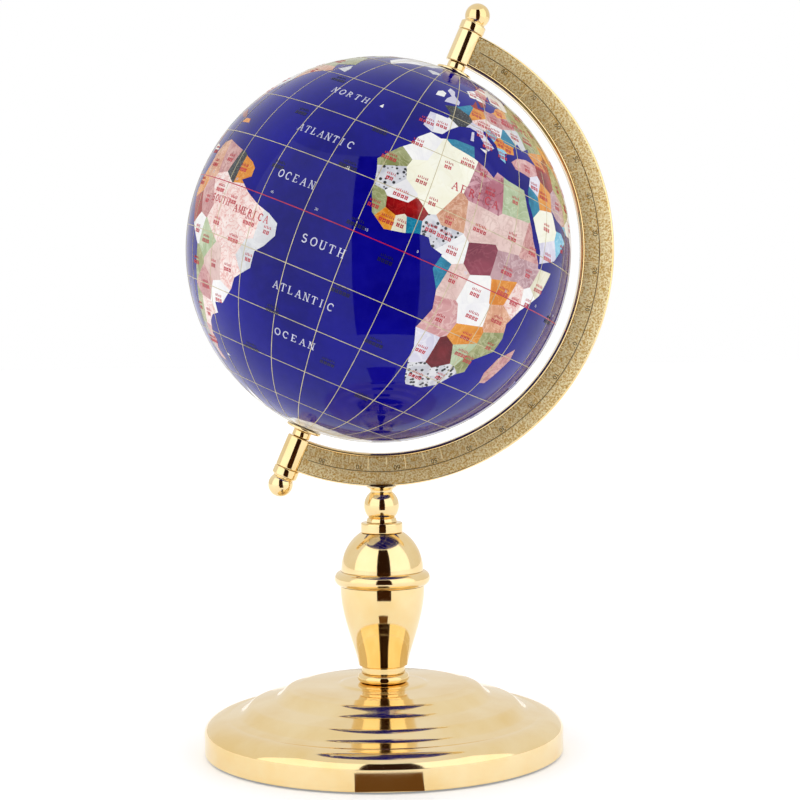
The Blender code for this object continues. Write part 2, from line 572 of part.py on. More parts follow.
def make_arm(parent, stand):
    mesh = bmesh.new()
    section = arm_section()
    rows = []
    for step in range(ARM_STEPS + 1):
        angle = math.pi / 2 - math.pi * step / ARM_STEPS
        rows.append(
            [
                mesh.verts.new((radius * math.cos(angle), depth, radius * math.sin(angle)))
                for radius, depth in section
            ]
        )
    for before, after in zip(rows, rows[1:]):
        for index in range(len(section)):
            after_index = (index + 1) % len(section)
            mesh.faces.new((before[index], before[after_index], after[after_index], after[index]))
    mesh.faces.new(rows[0])
    mesh.faces.new(rows[-1])
    arm = add_object("meridian_arm", mesh, "sanded_gold", parent)

    reach = ARM_OUTER_RADIUS + CUTTER_REACH
    seat = BARREL_RADIUS + GAP
    cut(arm, turn("barrel_seat_cutter", column_outline(seat, -reach, reach), None, parent))

    inner_z = GLOBE_Z - ARM_INNER_RADIUS
    outer_z = GLOBE_Z - ARM_OUTER_RADIUS
    hole = SCREW_RADIUS + THREAD_CLEARANCE
    mouth = SCREW_HEAD_RADIUS + THREAD_CLEARANCE
    head_foot = inner_z - SCREW_HEAD_HEIGHT - GAP
    cutter = [
        (0.0, outer_z - CUTTER_REACH),
        (hole, outer_z - CUTTER_REACH),
        (hole, head_foot),
        (mouth, inner_z - GAP),
        (mouth, inner_z + CUTTER_REACH),
        (0.0, inner_z + CUTTER_REACH),
    ]
    cut(arm, turn("screw_hole_cutter", cutter, None, stand, STEPS_SMALL))

    screw_foot = BALL_TOP_Z - SCREW_REACH
    head_top = inner_z - GAP
    screw = [
        (0.0, screw_foot),
        (SCREW_RADIUS, screw_foot),
        (SCREW_RADIUS, head_top - SCREW_HEAD_HEIGHT),
        (SCREW_HEAD_RADIUS, head_top),
        (0.0, head_top),
    ]
    arm_screw = turn("arm_screw", screw, "steel", stand, STEPS_SMALL)
    slot = bmesh.new()
    size = (2.0 * (SCREW_HEAD_RADIUS + CUTTER_REACH), SCREW_SLOT_WIDTH, 2.0 * SCREW_SLOT_DEPTH)
    place = Matrix.Translation((0.0, 0.0, head_top)) @ Matrix.Diagonal((*size, 1.0))
    bmesh.ops.create_cube(slot, size=1.0, matrix=place)
    cut(arm_screw, add_object("screw_slot_cutter", slot, None, stand))


# Pieces at each pole


def make_pole(side, parent, spinning, turn_over):
    """The barrel, pin, finial and bush of one pole, modelled along +Z from the globe's centre."""
    thread_bore = PIN_THREAD_RADIUS + THREAD_CLEARANCE
    edge = POLE_EDGE_BEVEL
    barrel = [
        (thread_bore, ARM_INNER_RADIUS),
        (BARREL_RADIUS - edge, ARM_INNER_RADIUS),
        (BARREL_RADIUS, ARM_INNER_RADIUS + edge),
        (BARREL_RADIUS, ARM_OUTER_RADIUS - edge),
        (BARREL_RADIUS - edge, ARM_OUTER_RADIUS),
        (thread_bore, ARM_OUTER_RADIUS),
    ]
    turn(f"{side}_barrel", barrel, "polished_gold", parent, STEPS_SMALL, turn_over)

    pin_foot = GLOBE_RADIUS - PIN_REACH
    thread_end = ARM_OUTER_RADIUS + PIN_THREAD_REACH
    pin = [
        (0.0, pin_foot),
        (PIN_RADIUS - edge, pin_foot),
        (PIN_RADIUS, pin_foot + edge),
        (PIN_RADIUS, SHOULDER_START),
        (PIN_SHOULDER_RADIUS, SHOULDER_START),
        (PIN_SHOULDER_RADIUS, THREAD_START),
        (PIN_THREAD_RADIUS, THREAD_START),
        (PIN_THREAD_RADIUS, thread_end),
        (0.0, thread_end),
    ]
    turn(f"{side}_pivot_pin", pin, "polished_gold", parent, STEPS_SMALL, turn_over)

    collar_top = FINIAL_START + FINIAL_COLLAR_HEIGHT
    step_top = collar_top + FINIAL_STEP_HEIGHT
    ball_centre = step_top + FINIAL_BALL_RADIUS - FINIAL_BALL_SINK
    ball_start = -math.asin((ball_centre - step_top) / FINIAL_BALL_RADIUS)
    bore_end = thread_end + THREAD_CLEARANCE
    finial = [
        (thread_bore, FINIAL_START),
        (FINIAL_COLLAR_RADIUS - edge, FINIAL_START),
        (FINIAL_COLLAR_RADIUS, FINIAL_START + edge),
        (FINIAL_COLLAR_RADIUS, collar_top - edge),
        (FINIAL_COLLAR_RADIUS - edge, collar_top),
        (FINIAL_STEP_RADIUS, collar_top),
        (FINIAL_STEP_RADIUS, step_top),
    ]
    finial += arc(FINIAL_BALL_RADIUS, ball_start, math.pi / 2, WALL_POINTS, (0.0, ball_centre))
    finial[-1] = (0.0, ball_centre + FINIAL_BALL_RADIUS)
    finial = [(0.0, bore_end), (thread_bore, bore_end)] + finial
    turn(f"{side}_finial", finial, "polished_gold", parent, STEPS_SMALL, turn_over)

    bush_bore = PIN_RADIUS + PIN_CLEARANCE
    sleeve_foot = FLANGE_START - BUSH_SLEEVE_LENGTH
    bush = [
        (bush_bore, sleeve_foot),
        (BUSH_SLEEVE_RADIUS, sleeve_foot),
        (BUSH_SLEEVE_RADIUS, FLANGE_START),
        (BUSH_FLANGE_RADIUS, FLANGE_START),
        (BUSH_FLANGE_RADIUS, FLANGE_END),
        (bush_bore, FLANGE_END),
    ]
    turn(f"{side}_pole_bush", bush, "polished_gold", spinning, STEPS_SMALL, turn_over)


# Globe


def shell_outline(inner, outer, start, steps):
    """The outline of a spherical shell between the bush hole at +Z and an angle from the equator."""
    hole = BUSH_SLEEVE_RADIUS + GAP
    outside = arc(outer, start, math.acos(hole / outer), steps)
    inside = arc(inner, start, math.acos(hole / inner), steps)
    return outside + inside[::-1]


def ball_shell_outline():
    """The outline of the skin of the globe, from pole to pole."""
    hole = BUSH_SLEEVE_RADIUS + GAP
    outside_end = math.acos(hole / GLOBE_RADIUS)
    inner = GLOBE_RADIUS - OCEAN_THICKNESS
    inside_end = math.acos(hole / inner)
    outside = arc(GLOBE_RADIUS, -outside_end, outside_end, BALL_ARC_STEPS)
    inside = arc(inner, -inside_end, inside_end, BALL_ARC_STEPS)
    return outside + inside[::-1]


def make_core(parent):
    skin_facet = math.cos(math.pi / BALL_STEPS) * math.cos(math.pi / (2 * BALL_ARC_STEPS))
    outer = (GLOBE_RADIUS - OCEAN_THICKNESS) * skin_facet - GAP
    inner = outer - CORE_WALL
    seam = GAP / 2.0
    half = shell_outline(inner, outer, 0.0, CORE_ARC_STEPS)
    half[0] = (outer, seam)
    half[-1] = (inner, seam)
    turn("core_north", half, "core_plastic", parent, STEPS_MEDIUM)
    turn("core_south", half, "core_plastic", parent, STEPS_MEDIUM, turn_over=True)
    half_height = SEAM_RING_HEIGHT / 2.0
    facet = math.cos(math.pi / STEPS_MEDIUM)
    ring_outer = math.sqrt(inner**2 - half_height**2) * facet - GAP
    seam_ring = ring(ring_outer - SEAM_RING_WALL, ring_outer, -half_height, half_height)
    turn("core_seam_ring", seam_ring, "core_plastic", parent, STEPS_MEDIUM)


def map_direction(longitude, latitude):
    """Unit vector of a place on the globe, whose facing longitude is at -Y and north at +Z."""
    east = math.radians(longitude - FACING_LONGITUDE)
    north = math.radians(latitude)
    return Vector((math.cos(north) * math.sin(east), -math.cos(north) * math.cos(east), math.sin(north)))


def grow_coastline(directions, distance):
    """Move each point of a coastline outwards, square to the two edges that meet there."""
    grown = []
    for index, point in enumerate(directions):
        before = directions[index - 1]
        after = directions[(index + 1) % len(directions)]
        first = (point - before).cross(point).normalized()
        second = (after - point).cross(point).normalized()
        mitre = (first + second) / max(1.0 + first.dot(second), 1.0 / MITRE_LIMIT)
        grown.append((point + mitre * distance / GLOBE_RADIUS).normalized())
    return grown


def flat_map(directions):
    """The coastline laid flat about its middle, at true distances from the middle."""
    middle = sum(directions, Vector()).normalized()
    across = Vector((0.0, 1.0, 0.0)).cross(middle).normalized()
    up = middle.cross(across)
    flat = []
    for point in directions:
        away = point.angle(middle)
        side = Vector((point.dot(across), point.dot(up)))
        side = side.normalized() * away
        flat.append(Vector((side.x, side.y, 0.0)))
    return flat


def signed_area(flat):
    return 0.5 * sum(
        a.x * b.y - a.y * b.x for a, b in zip(flat, flat[1:] + flat[:1])
    )


def coastline_cutter(name, coastline, distance, parent):
    """A radial prism over a coastline, which reaches from inside the globe to well outside it."""
    directions = [map_direction(*place) for place in coastline]
    if signed_area(flat_map(directions)) < 0.0:
        directions.reverse()
    directions = grow_coastline(directions, distance)
    triangles = geometry.tessellate_polygon([flat_map(directions)])
    mesh = bmesh.new()
    near = [mesh.verts.new(point * GLOBE_RADIUS * CONE_NEAR) for point in directions]
    far = [mesh.verts.new(point * GLOBE_RADIUS * CONE_FAR) for point in directions]
    for index in range(len(directions)):
        after = (index + 1) % len(directions)
        mesh.faces.new((near[index], near[after], far[after], far[index]))
    for a, b, c in triangles:
        mesh.faces.new((near[a], near[b], near[c]))
        mesh.faces.new((far[a], far[c], far[b]))
    return add_object(name, mesh, None, parent)


def make_map(parent):
    """The ocean skin with a window for each stone, and the stones that fill the windows."""
    ocean = turn("ocean_layer", ball_shell_outline(), "ocean_resin", parent, BALL_STEPS)
    for name, (coastline, material) in STONES.items():
        window = coastline_cutter(f"{name}_window_cutter", coastline, GAP / 2.0, parent)
        cut(ocean, window)
        stone = turn(name, ball_shell_outline(), material, parent, BALL_STEPS)
        outline = coastline_cutter(f"{name}_outline_cutter", coastline, -GAP / 2.0, parent)
        cut(stone, outline, "INTERSECT")


def main():
    clear_scene()
    make_materials()
    stand = add_empty("stand", Matrix.Identity(4))
    polar = Matrix.Translation((0.0, 0.0, GLOBE_Z)) @ Matrix.Rotation(AXIS_TILT, 4, "Y")
    polar_axis = add_empty("polar_axis", polar)
    globe = add_empty("globe", polar)
    rod_foot = make_base(stand)
    make_column(stand, rod_foot)
    make_arm(polar_axis, stand)
    make_pole("north", polar_axis, globe, turn_over=False)
    make_pole("south", polar_axis, globe, turn_over=True)
    make_core(globe)
    make_map(globe)
    bpy.context.view_layer.update()


main()
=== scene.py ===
"""Looks of a desktop globe.

A ball inlaid with polished stones and gold wire spins in a sanded, gold-plated meridian arm. The arm
stands on a column of turned gold-plated pieces and a stepped round base.
Lengths are in metres. +Z is up, and +X points to the bow of the arm.
"""

import json
import math

import bpy
import numpy as np
from mathutils import Matrix, Vector, geometry


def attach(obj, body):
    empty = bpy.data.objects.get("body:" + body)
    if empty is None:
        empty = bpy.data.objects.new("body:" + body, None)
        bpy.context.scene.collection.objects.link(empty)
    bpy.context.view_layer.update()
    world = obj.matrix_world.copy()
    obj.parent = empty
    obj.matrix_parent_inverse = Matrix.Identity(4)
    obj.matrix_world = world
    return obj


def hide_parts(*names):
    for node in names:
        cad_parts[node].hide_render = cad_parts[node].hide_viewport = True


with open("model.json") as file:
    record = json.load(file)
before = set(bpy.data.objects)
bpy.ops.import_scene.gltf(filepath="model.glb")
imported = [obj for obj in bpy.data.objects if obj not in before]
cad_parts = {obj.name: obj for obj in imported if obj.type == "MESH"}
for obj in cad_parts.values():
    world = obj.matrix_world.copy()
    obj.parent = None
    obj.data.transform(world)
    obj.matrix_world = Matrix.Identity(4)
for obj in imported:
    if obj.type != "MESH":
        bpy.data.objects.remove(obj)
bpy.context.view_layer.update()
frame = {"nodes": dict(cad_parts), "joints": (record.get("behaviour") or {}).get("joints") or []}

MM = 0.001
FULL_TURN = 2.0 * math.pi
STEPS = 192  # round a large turned piece
STEPS_SMALL = 96
SMOOTH_BELOW = math.radians(32.0)
SEAM = 0.26 * MM  # how far a turned piece grows down, to sit on the one below

# The globe's own axes: its centre, and rows that point east along the front, from the front to the
# back (+Y) and to the north pole
spin = frame["joints"][0]
CENTRE = np.array(spin["pos_m"], float)
NORTH = np.array(spin["axis"], float)
AWAY = np.array([0.0, 1.0, 0.0])
EAST = np.cross(AWAY, NORTH)
WORLD_AXES = (np.zeros(3), np.eye(3))
NORTH_AXES = (CENTRE, np.array([EAST, AWAY, NORTH]))
SOUTH_AXES = (CENTRE, np.array([-EAST, AWAY, -NORTH]))
FACING_LONGITUDE = -6.5

# Depths of the ball's layers, below the ball's full radius
SKIN_DEPTH = 0.10 * MM
STONE_DEPTH = 0.05 * MM
WIRE_DEPTH = 0.01 * MM
STONE_THICKNESS = 0.6 * MM
WIRE_WIDTH = 0.25 * MM


# Shapes


def node_points(node):
    mesh = frame["nodes"][node].data
    flat = np.zeros(len(mesh.vertices) * 3, np.float32)
    mesh.vertices.foreach_get("co", flat)
    return flat.reshape(-1, 3).astype(float)


def reach(node, axes=WORLD_AXES):
    """Lowest and highest level of a CAD node along the third axis, and its least and most radius."""
    origin, rows = axes
    local = (node_points(node) - origin) @ rows.T
    radius = np.hypot(local[:, 0], local[:, 1])
    return local[:, 2].min(), local[:, 2].max(), radius.min(), radius.max()


def placed(points, axes):
    """Points given along three axes, moved to the world."""
    origin, rows = axes
    return points @ rows + origin


def outward(points, faces):
    """Faces all turned over if the signed volume under them is negative."""
    fans = np.concatenate([faces[:, [0, i, i + 1]] for i in range(1, faces.shape[1] - 1)])
    a, b, c = (points[fans[:, i]] - points.mean(0) for i in range(3))
    volume = np.einsum("ij,ij->i", a, np.cross(b, c)).sum()
    return faces[:, ::-1] if volume < 0.0 else faces


def gathered(parts):
    """Several (points, faces) shapes as one, with each shape's faces counted on from the last."""
    counts = np.cumsum([0] + [len(points) for points, _ in parts])
    points = np.concatenate([points for points, _ in parts])
    faces = np.concatenate([faces + start for start, (_, faces) in zip(counts, parts)])
    return points, faces


def make_piece(name, points, faces, materials, body, stands_for=()):
    """A mesh object from points and rows of corners; a corner that repeats makes a triangle."""
    mesh = bpy.data.meshes.new(name)
    rows = [list(dict.fromkeys(row)) for row in faces.tolist()]
    mesh.from_pydata(points.tolist(), [], rows)
    mesh.shade_smooth()
    mesh.set_sharp_from_angle(angle=SMOOTH_BELOW)
    for material in materials:
        mesh.materials.append(material)
    piece = bpy.data.objects.new(name, mesh)
    bpy.context.scene.collection.objects.link(piece)
    if body is None:
        return piece
    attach(piece, body)
    if stands_for:
        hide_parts(*stands_for)
    return piece


def lathe(profile, steps):
    """A (radius, level) profile spun about the axis: points (r cos a, r sin a, level).

    A profile that starts on the axis also ends there, and its end rings shrink to the axis. Any other
    is closed as a loop. It is put in the order in which its faces point outwards.
    """
    radius, level = np.asarray(profile, float).T
    area = np.sum(radius * np.roll(level, -1) - np.roll(radius, -1) * level)
    if area < 0.0:
        radius, level = radius[::-1], level[::-1]
    angle = np.arange(steps) * FULL_TURN / steps
    rings = np.stack(
        [np.outer(radius, np.cos(angle)), np.outer(radius, np.sin(angle)), np.outer(level, np.ones(steps))],
        axis=-1,
    )
    index = np.arange(rings.size // 3).reshape(len(radius), steps)
    if radius[0] == 0.0:
        index[0] = index[0, 0]
        index[-1] = index[-1, 0]
        above = index[1:]
        below = index[:-1]
    else:
        above = np.roll(index, -1, axis=0)
        below = index
    faces = np.stack([below, np.roll(below, -1, 1), np.roll(above, -1, 1), above], axis=-1)
    return used(rings.reshape(-1, 3), faces.reshape(-1, 4))


def used(points, faces):
    """Only the points that faces use, numbered again."""
    kept, numbers = np.unique(faces, return_inverse=True)
    return points[kept], numbers.reshape(faces.shape)


def turned(name, profile, material, body, stands_for, axes=WORLD_AXES, steps=STEPS_SMALL):
    points, faces = lathe(profile, steps)
    return make_piece(name, placed(points, axes), faces, [material], body, stands_for)


def band(path, across, out, width, low, high, closed=False, crest=1.0):
    """A strip along a path: each point moved half the width to each side, at two heights.

    Its top is `crest` times as wide as its foot, so that a small crest makes a ridge.
    """
    side = across * width / 2.0
    corners = [path + side + out * low, path + side * crest + out * high]
    corners += [path - side * crest + out * high, path - side + out * low]
    points = np.stack(corners, axis=1).reshape(-1, 3)
    index = np.arange(len(points)).reshape(-1, 4)
    here = index if closed else index[:-1]
    ahead = np.roll(index, -1, axis=0) if closed else index[1:]
    faces = np.stack([here, np.roll(here, -1, 1), np.roll(ahead, -1, 1), ahead], axis=-1)
    faces = faces.reshape(-1, 4)
    if not closed:
        faces = np.concatenate([faces, index[:1, ::-1], index[-1:]])
    return points, outward(points, faces)


def bow(centre, radii, start, end, count=10):
    """Points of an ellipse between two angles in degrees, anticlockwise from its right."""
    angle = np.radians(np.linspace(start, end, count + 1))
    return np.stack([centre[0] + radii[0] * np.cos(angle), centre[1] + radii[1] * np.sin(angle)], -1)


ROLL_START = 0.32  # of a wave's width, where its steeper roll starts
ROLL_WIDTH = 0.40


def wave(start, end, fall_from, fall_to, count=30):
    """A fall between two radii, half of it even and half in one steeper roll, without its first point.

    A share s of the way out, it has fallen by s / 2 + (3t^2 - 2t^3) / 2 of the whole, where t goes from
    0 to 1 while s goes across the roll.
    """
    share = np.linspace(0.0, 1.0, count + 1)[1:]
    t = np.clip((share - ROLL_START) / ROLL_WIDTH, 0.0, 1.0)
    fallen = 0.5 * share + 0.5 * t * t * (3.0 - 2.0 * t)
    return np.stack([start + (end - start) * share, fall_from + (fall_to - fall_from) * fallen], -1)


def inset(profile, distance):
    """A profile moved to the right of its direction of travel, square to it at each point."""
    along = np.gradient(profile, axis=0)
    along /= np.maximum(np.hypot(along[:, 0], along[:, 1]), 1e-12)[:, None]
    return profile + np.stack([along[:, 1], -along[:, 0]], -1) * distance


def rounded(corners, size, count=5):
    """A profile whose inner corners are cut by a quadratic curve that starts `size` before each."""
    corners = np.asarray(corners, float)
    before, corner, after = corners[:-2], corners[1:-1], corners[2:]
    to_before = before - corner
    to_after = after - corner
    near = np.hypot(to_before[:, 0], to_before[:, 1])[:, None]
    far = np.hypot(to_after[:, 0], to_after[:, 1])[:, None]
    start = corner + to_before / near * np.minimum(size, near * 0.45)
    end = corner + to_after / far * np.minimum(size, far * 0.45)
    share = np.linspace(0.0, 1.0, count)[None, :, None]
    curve = (1.0 - share) ** 2 * start[:, None] + 2.0 * share * (1.0 - share) * corner[:, None]
    curve = curve + share**2 * end[:, None]
    return np.concatenate([corners[:1], curve.reshape(-1, 2), corners[-1:]])


# Materials


def paint(code):
    """Linear red, green, blue and alpha of an sRGB hex colour."""
    values = [int(code[i : i + 2], 16) / 255.0 for i in (1, 3, 5)]
    return tuple(v / 12.92 if v <= 0.04045 else ((v + 0.055) / 1.055) ** 2.4 for v in values) + (1.0,)


def add_node(tree, kind, settings=None, links=None):
    """Add a node, set its properties, and set or link its inputs by name or number."""
    node = tree.nodes.new(kind)
    for name, value in (settings or {}).items():
        setattr(node, name, value)
    for name, value in (links or {}).items():
        if isinstance(value, bpy.types.NodeSocket):
            tree.links.new(value, node.inputs[name])
        else:
            node.inputs[name].default_value = value
    return node


def new_material(name):
    material = bpy.data.materials.new(name)
    material.use_nodes = True
    tree = material.node_tree
    tree.nodes.clear()
    place = add_node(tree, "ShaderNodeTexCoord").outputs["Object"]
    return material, tree, place


def finish_material(tree, links):
    shader = add_node(tree, "ShaderNodeBsdfPrincipled", None, links)
    add_node(tree, "ShaderNodeOutputMaterial", None, {"Surface": shader.outputs["BSDF"]})


def grain(tree, place, size, detail=2.0, roughness=0.5, distortion=0.0):
    """Noise whose patches are about `size` across."""
    links = {"Vector": place, "Scale": 1.0 / size, "Detail": detail, "Roughness": roughness}
    links["Distortion"] = distortion
    return add_node(tree, "ShaderNodeTexNoise", None, links).outputs["Fac"]


def spread(tree, value, low, high, to_low=0.0, to_high=1.0):
    """A value between low and high, mapped to another range and kept in it."""
    links = {"Value": value, "From Min": low, "From Max": high, "To Min": to_low, "To Max": to_high}
    return add_node(tree, "ShaderNodeMapRange", None, links).outputs["Result"]


def blend_colours(tree, share, first, second):
    settings = {"data_type": "RGBA"}
    return add_node(tree, "ShaderNodeMix", settings, {0: share, 6: first, 7: second}).outputs[2]


def polished_gold():
    """Gold plate on turned brass, buffed by hand.

    Mirror-like, with faint waves from the buffing wheel a few millimetres long and haze in patches.
    """
    material, tree, place = new_material("buffed gold plate")
    waves = grain(tree, place, 7.0 * MM, detail=1.0)
    haze = grain(tree, place, 22.0 * MM, detail=4.0)
    colour = blend_colours(tree, spread(tree, haze, 0.35, 0.65), paint("#F0D294"), paint("#F6DFAE"))
    bump = add_node(tree, "ShaderNodeBump", None, {"Strength": 0.10, "Distance": 0.1 * MM, "Height": waves})
    links = {"Base Color": colour, "Metallic": 1.0, "Normal": bump.outputs["Normal"]}
    links["Roughness"] = spread(tree, haze, 0.3, 0.7, 0.05, 0.11)
    finish_material(tree, links)
    return material


def sanded_gold():
    """Gold plate over a sand-blasted casting.

    Pits under a millimetre across give a bump relief. The colour follows the same grit, near white on its
    high points and darker in the pits: painted glints and painted shade.
    """
    material, tree, place = new_material("sand-blasted gold plate")
    grit = grain(tree, place, 0.70 * MM, detail=3.0, roughness=0.7)
    patches = grain(tree, place, 6.0 * MM, detail=3.0)
    # Painted glints and painted shade: the grit noise turns the colour near white on its high points and
    # darker gold in its pits.
    colour = blend_colours(tree, spread(tree, grit, 0.40, 0.58), paint("#CFA14A"), paint("#FFF2C6"))
    tint = spread(tree, patches, 0.35, 0.65, 0.0, 0.12)
    colour = blend_colours(tree, tint, colour, paint("#D9AE5E"))
    bump = add_node(tree, "ShaderNodeBump", None, {"Strength": 0.45, "Distance": 0.2 * MM, "Height": grit})
    links = {"Base Color": colour, "Metallic": 1.0, "Normal": bump.outputs["Normal"]}
    links["Roughness"] = spread(tree, grit, 0.3, 0.7, 0.48, 0.34)
    finish_material(tree, links)
    return material


def plain_metal(name, light, dark, roughness, size):
    """Machined or cast metal: fine tooling noise of the given size in its colour and gloss."""
    material, tree, place = new_material(name)
    marks = grain(tree, place, size, detail=4.0)
    colour = blend_colours(tree, spread(tree, marks, 0.35, 0.65), paint(dark), paint(light))
    bump = add_node(tree, "ShaderNodeBump", None, {"Strength": 0.2, "Distance": 0.05 * MM, "Height": marks})
    links = {"Base Color": colour, "Metallic": 1.0, "Normal": bump.outputs["Normal"]}
    links["Roughness"] = spread(tree, marks, 0.3, 0.7, roughness, roughness + 0.12)
    finish_material(tree, links)
    return material


def matt_solid(name, light, dark, roughness, size, relief):
    """Felt or moulded plastic: soft mottling of the given size, with a matching relief."""
    material, tree, place = new_material(name)
    marks = grain(tree, place, size, detail=5.0, roughness=0.7)
    colour = blend_colours(tree, spread(tree, marks, 0.3, 0.7), paint(dark), paint(light))
    bump = add_node(tree, "ShaderNodeBump", None, {"Strength": 0.5, "Distance": relief, "Height": marks})
    links = {"Base Color": colour, "Roughness": roughness, "Normal": bump.outputs["Normal"]}
    finish_material(tree, links)
    return material


def ocean_resin():
    """Cast and polished resin dyed ultramarine.

    Deep violet-blue with cloudy paler zones tens of millimetres wide, and a glassy surface.
    """
    material, tree, place = new_material("polished ultramarine resin")
    clouds = grain(tree, place, 45.0 * MM, detail=3.0, distortion=0.4)
    fine = grain(tree, place, 4.0 * MM, detail=4.0)
    colour = blend_colours(tree, spread(tree, clouds, 0.3, 0.7), paint("#05036C"), paint("#0B0990"))
    colour = blend_colours(tree, spread(tree, fine, 0.4, 0.7, 0.0, 0.18), colour, paint("#1E1AA0"))
    links = {"Base Color": colour, "IOR": 1.31}
    links["Roughness"] = spread(tree, fine, 0.3, 0.7, 0.03, 0.06)
    finish_material(tree, links)
    return material


def plain_ink(name, code, roughness=0.35):
    """Print or inlaid wire whose tone drifts slightly along its length."""
    material, tree, place = new_material(name)
    drift = grain(tree, place, 3.0 * MM, detail=3.0)
    light = paint(code)
    dark = tuple(v * 0.72 for v in light[:3]) + (1.0,)
    colour = blend_colours(tree, spread(tree, drift, 0.35, 0.65), dark, light)
    finish_material(tree, {"Base Color": colour, "Roughness": roughness})
    return material


# Each stone: body colour, cloud colour, vein or spot colour, how much of it shows, and patch size in
# millimetres. A fleck is a spot with its own cell; a vein is a thin wandering line.
STONE_LOOKS = {
    "ivory_onyx": ("#FCFCEE", "#F7F6E0", "#EAE6C8", "vein", 0.25, 9.0),
    "white_quartz": ("#FAFAF8", "#EFEFF2", "#DCDCE4", "vein", 0.2, 7.0),
    "olive_jade": ("#A7AC7C", "#868C58", "#D2D3AC", "vein", 0.5, 3.5),
    "salmon_jasper": ("#DDA888", "#C98A6A", "#F0CDB4", "vein", 0.7, 2.5),
    "dalmatian_jasper": ("#C4C6D0", "#E2E3E8", "#22242A", "spot", 1.0, 1.7),
    "red_jasper": ("#9E1518", "#7A0E12", "#B8342E", "vein", 0.4, 4.0),
    "orange_calcite": ("#E69A38", "#D77F22", "#F4BC6A", "vein", 0.5, 3.0),
    "teal_howlite": ("#1C86AA", "#146E90", "#3FA6C4", "vein", 0.4, 3.0),
    "rhodonite": ("#AE6274", "#D9AAB4", "#8A3B50", "vein", 0.8, 5.0),
    "pale_rose_quartz": ("#EBD3CC", "#DDBDB8", "#C9A79E", "vein", 0.6, 4.0),
    "green_aventurine": ("#BCCBA8", "#A5B890", "#DDE5CE", "vein", 0.5, 3.5),
    "cream_marble": ("#EFECDA", "#E0DCC4", "#CFC8A8", "vein", 0.4, 5.0),
    "grey_rose_quartz": ("#C6A2A8", "#AF878F", "#E2CACD", "vein", 0.6, 3.5),
    "mauve_jasper": ("#8E3C50", "#76293F", "#A8596A", "vein", 0.4, 5.0),
    "pink_marble": ("#D9A6A6", "#CB8D90", "#EFD2CE", "vein", 0.7, 3.5),
    "moonstone": ("#E4E2EF", "#CFCDE2", "#F6F5FA", "vein", 0.5, 6.0),
    "garnet": ("#761B26", "#5A101B", "#8E3440", "vein", 0.3, 3.0),
    "pearl": ("#DEDFE2", "#CFD1D6", "#EDEFF0", "vein", 0.5, 5.0),
    "streaked_pink": ("#F8EAE6", "#F2D8D2", "#DE8E88", "vein", 0.75, 2.6),
    "thulite": ("#C48A8C", "#D9AEA8", "#A86468", "vein", 0.7, 3.0),
    "black_granite": ("#2A2D30", "#3C4044", "#70767A", "spot", 0.6, 0.9),
    "grey_agate": ("#8E9298", "#A6AAB0", "#6C7076", "vein", 0.5, 3.0),
    "pale_turquoise": ("#84CBE6", "#5FB4D6", "#B8E2F2", "vein", 0.6, 3.0),
    "khaki_serpentine": ("#A9A173", "#8F8758", "#CFC9A2", "vein", 0.6, 4.5),
}


def cut_stone(name, look):
    """A polished stone tile: clouds of two colours, crossed by veins or dotted with spots.

    Each cut piece has its own number, which shifts the clouds and darkens or lightens the tile a bit,
    so that no two neighbours cut from one kind of stone match.
    """
    body, cloud, mark, kind, amount, size = look
    material, tree, place = new_material(name.replace("_", " ") + " polished tile")
    number = add_node(tree, "ShaderNodeAttribute", {"attribute_name": "cut"}).outputs["Fac"]
    away = add_node(tree, "ShaderNodeVectorMath", {"operation": "SCALE"}, {0: (0.37, 0.21, 0.53), 3: number})
    shifted = add_node(tree, "ShaderNodeVectorMath", None, {0: place, 1: away.outputs["Vector"]}).outputs[0]
    clouds = grain(tree, shifted, size * 2.0 * MM, detail=4.0, distortion=0.6)
    colour = blend_colours(tree, spread(tree, clouds, 0.38, 0.62), paint(body), paint(cloud))
    if kind == "vein":
        lines = grain(tree, shifted, size * 1.4 * MM, detail=5.0, distortion=1.4)
        centred = add_node(tree, "ShaderNodeMath", {"operation": "SUBTRACT"}, {0: lines, 1: 0.5})
        distance = add_node(tree, "ShaderNodeMath", {"operation": "ABSOLUTE"}, {0: centred.outputs[0]})
        share = spread(tree, distance.outputs[0], 0.0, 0.045, amount, 0.0)
    else:
        links = {"Vector": shifted, "Scale": 1.0 / (size * MM), "Randomness": 0.9}
        cells = add_node(tree, "ShaderNodeTexVoronoi", None, links).outputs["Distance"]
        share = spread(tree, cells, 0.30, 0.38, amount, 0.0)
    colour = blend_colours(tree, share, colour, paint(mark))
    tone = spread(tree, number, 0.0, 1.0, 0.0, 0.12)
    dark = tuple(v * 0.55 for v in paint(cloud)[:3]) + (1.0,)
    colour = blend_colours(tree, tone, colour, dark)
    links = {"Base Color": colour, "IOR": 1.42, "Roughness": spread(tree, clouds, 0.3, 0.7, 0.06, 0.12)}
    finish_material(tree, links)
    return material


GOLD = polished_gold()
SANDED = sanded_gold()
STEEL = plain_metal("machined steel", "#B4B6B8", "#85888B", 0.28, 0.6 * MM)
IRON = plain_metal("cast iron", "#4A4A4B", "#2C2C2E", 0.55, 1.2 * MM)
FELT = matt_solid("pressed green felt", "#1F4A33", "#12301F", 0.95, 0.8 * MM, 0.3 * MM)
PLASTIC = matt_solid("moulded white plastic", "#DEDACD", "#CFCABA", 0.5, 1.5 * MM, 0.02 * MM)
# Dark gold for the band beside the ridge and for the numbers: painted shade, standing in for the shade on the
# ridge's far flank and inside engraved numbers.
PAINTED_SHADE_GOLD = plain_metal("gold darkened as painted shade", "#6E5122", "#3F2C10", 0.5, 0.5 * MM)
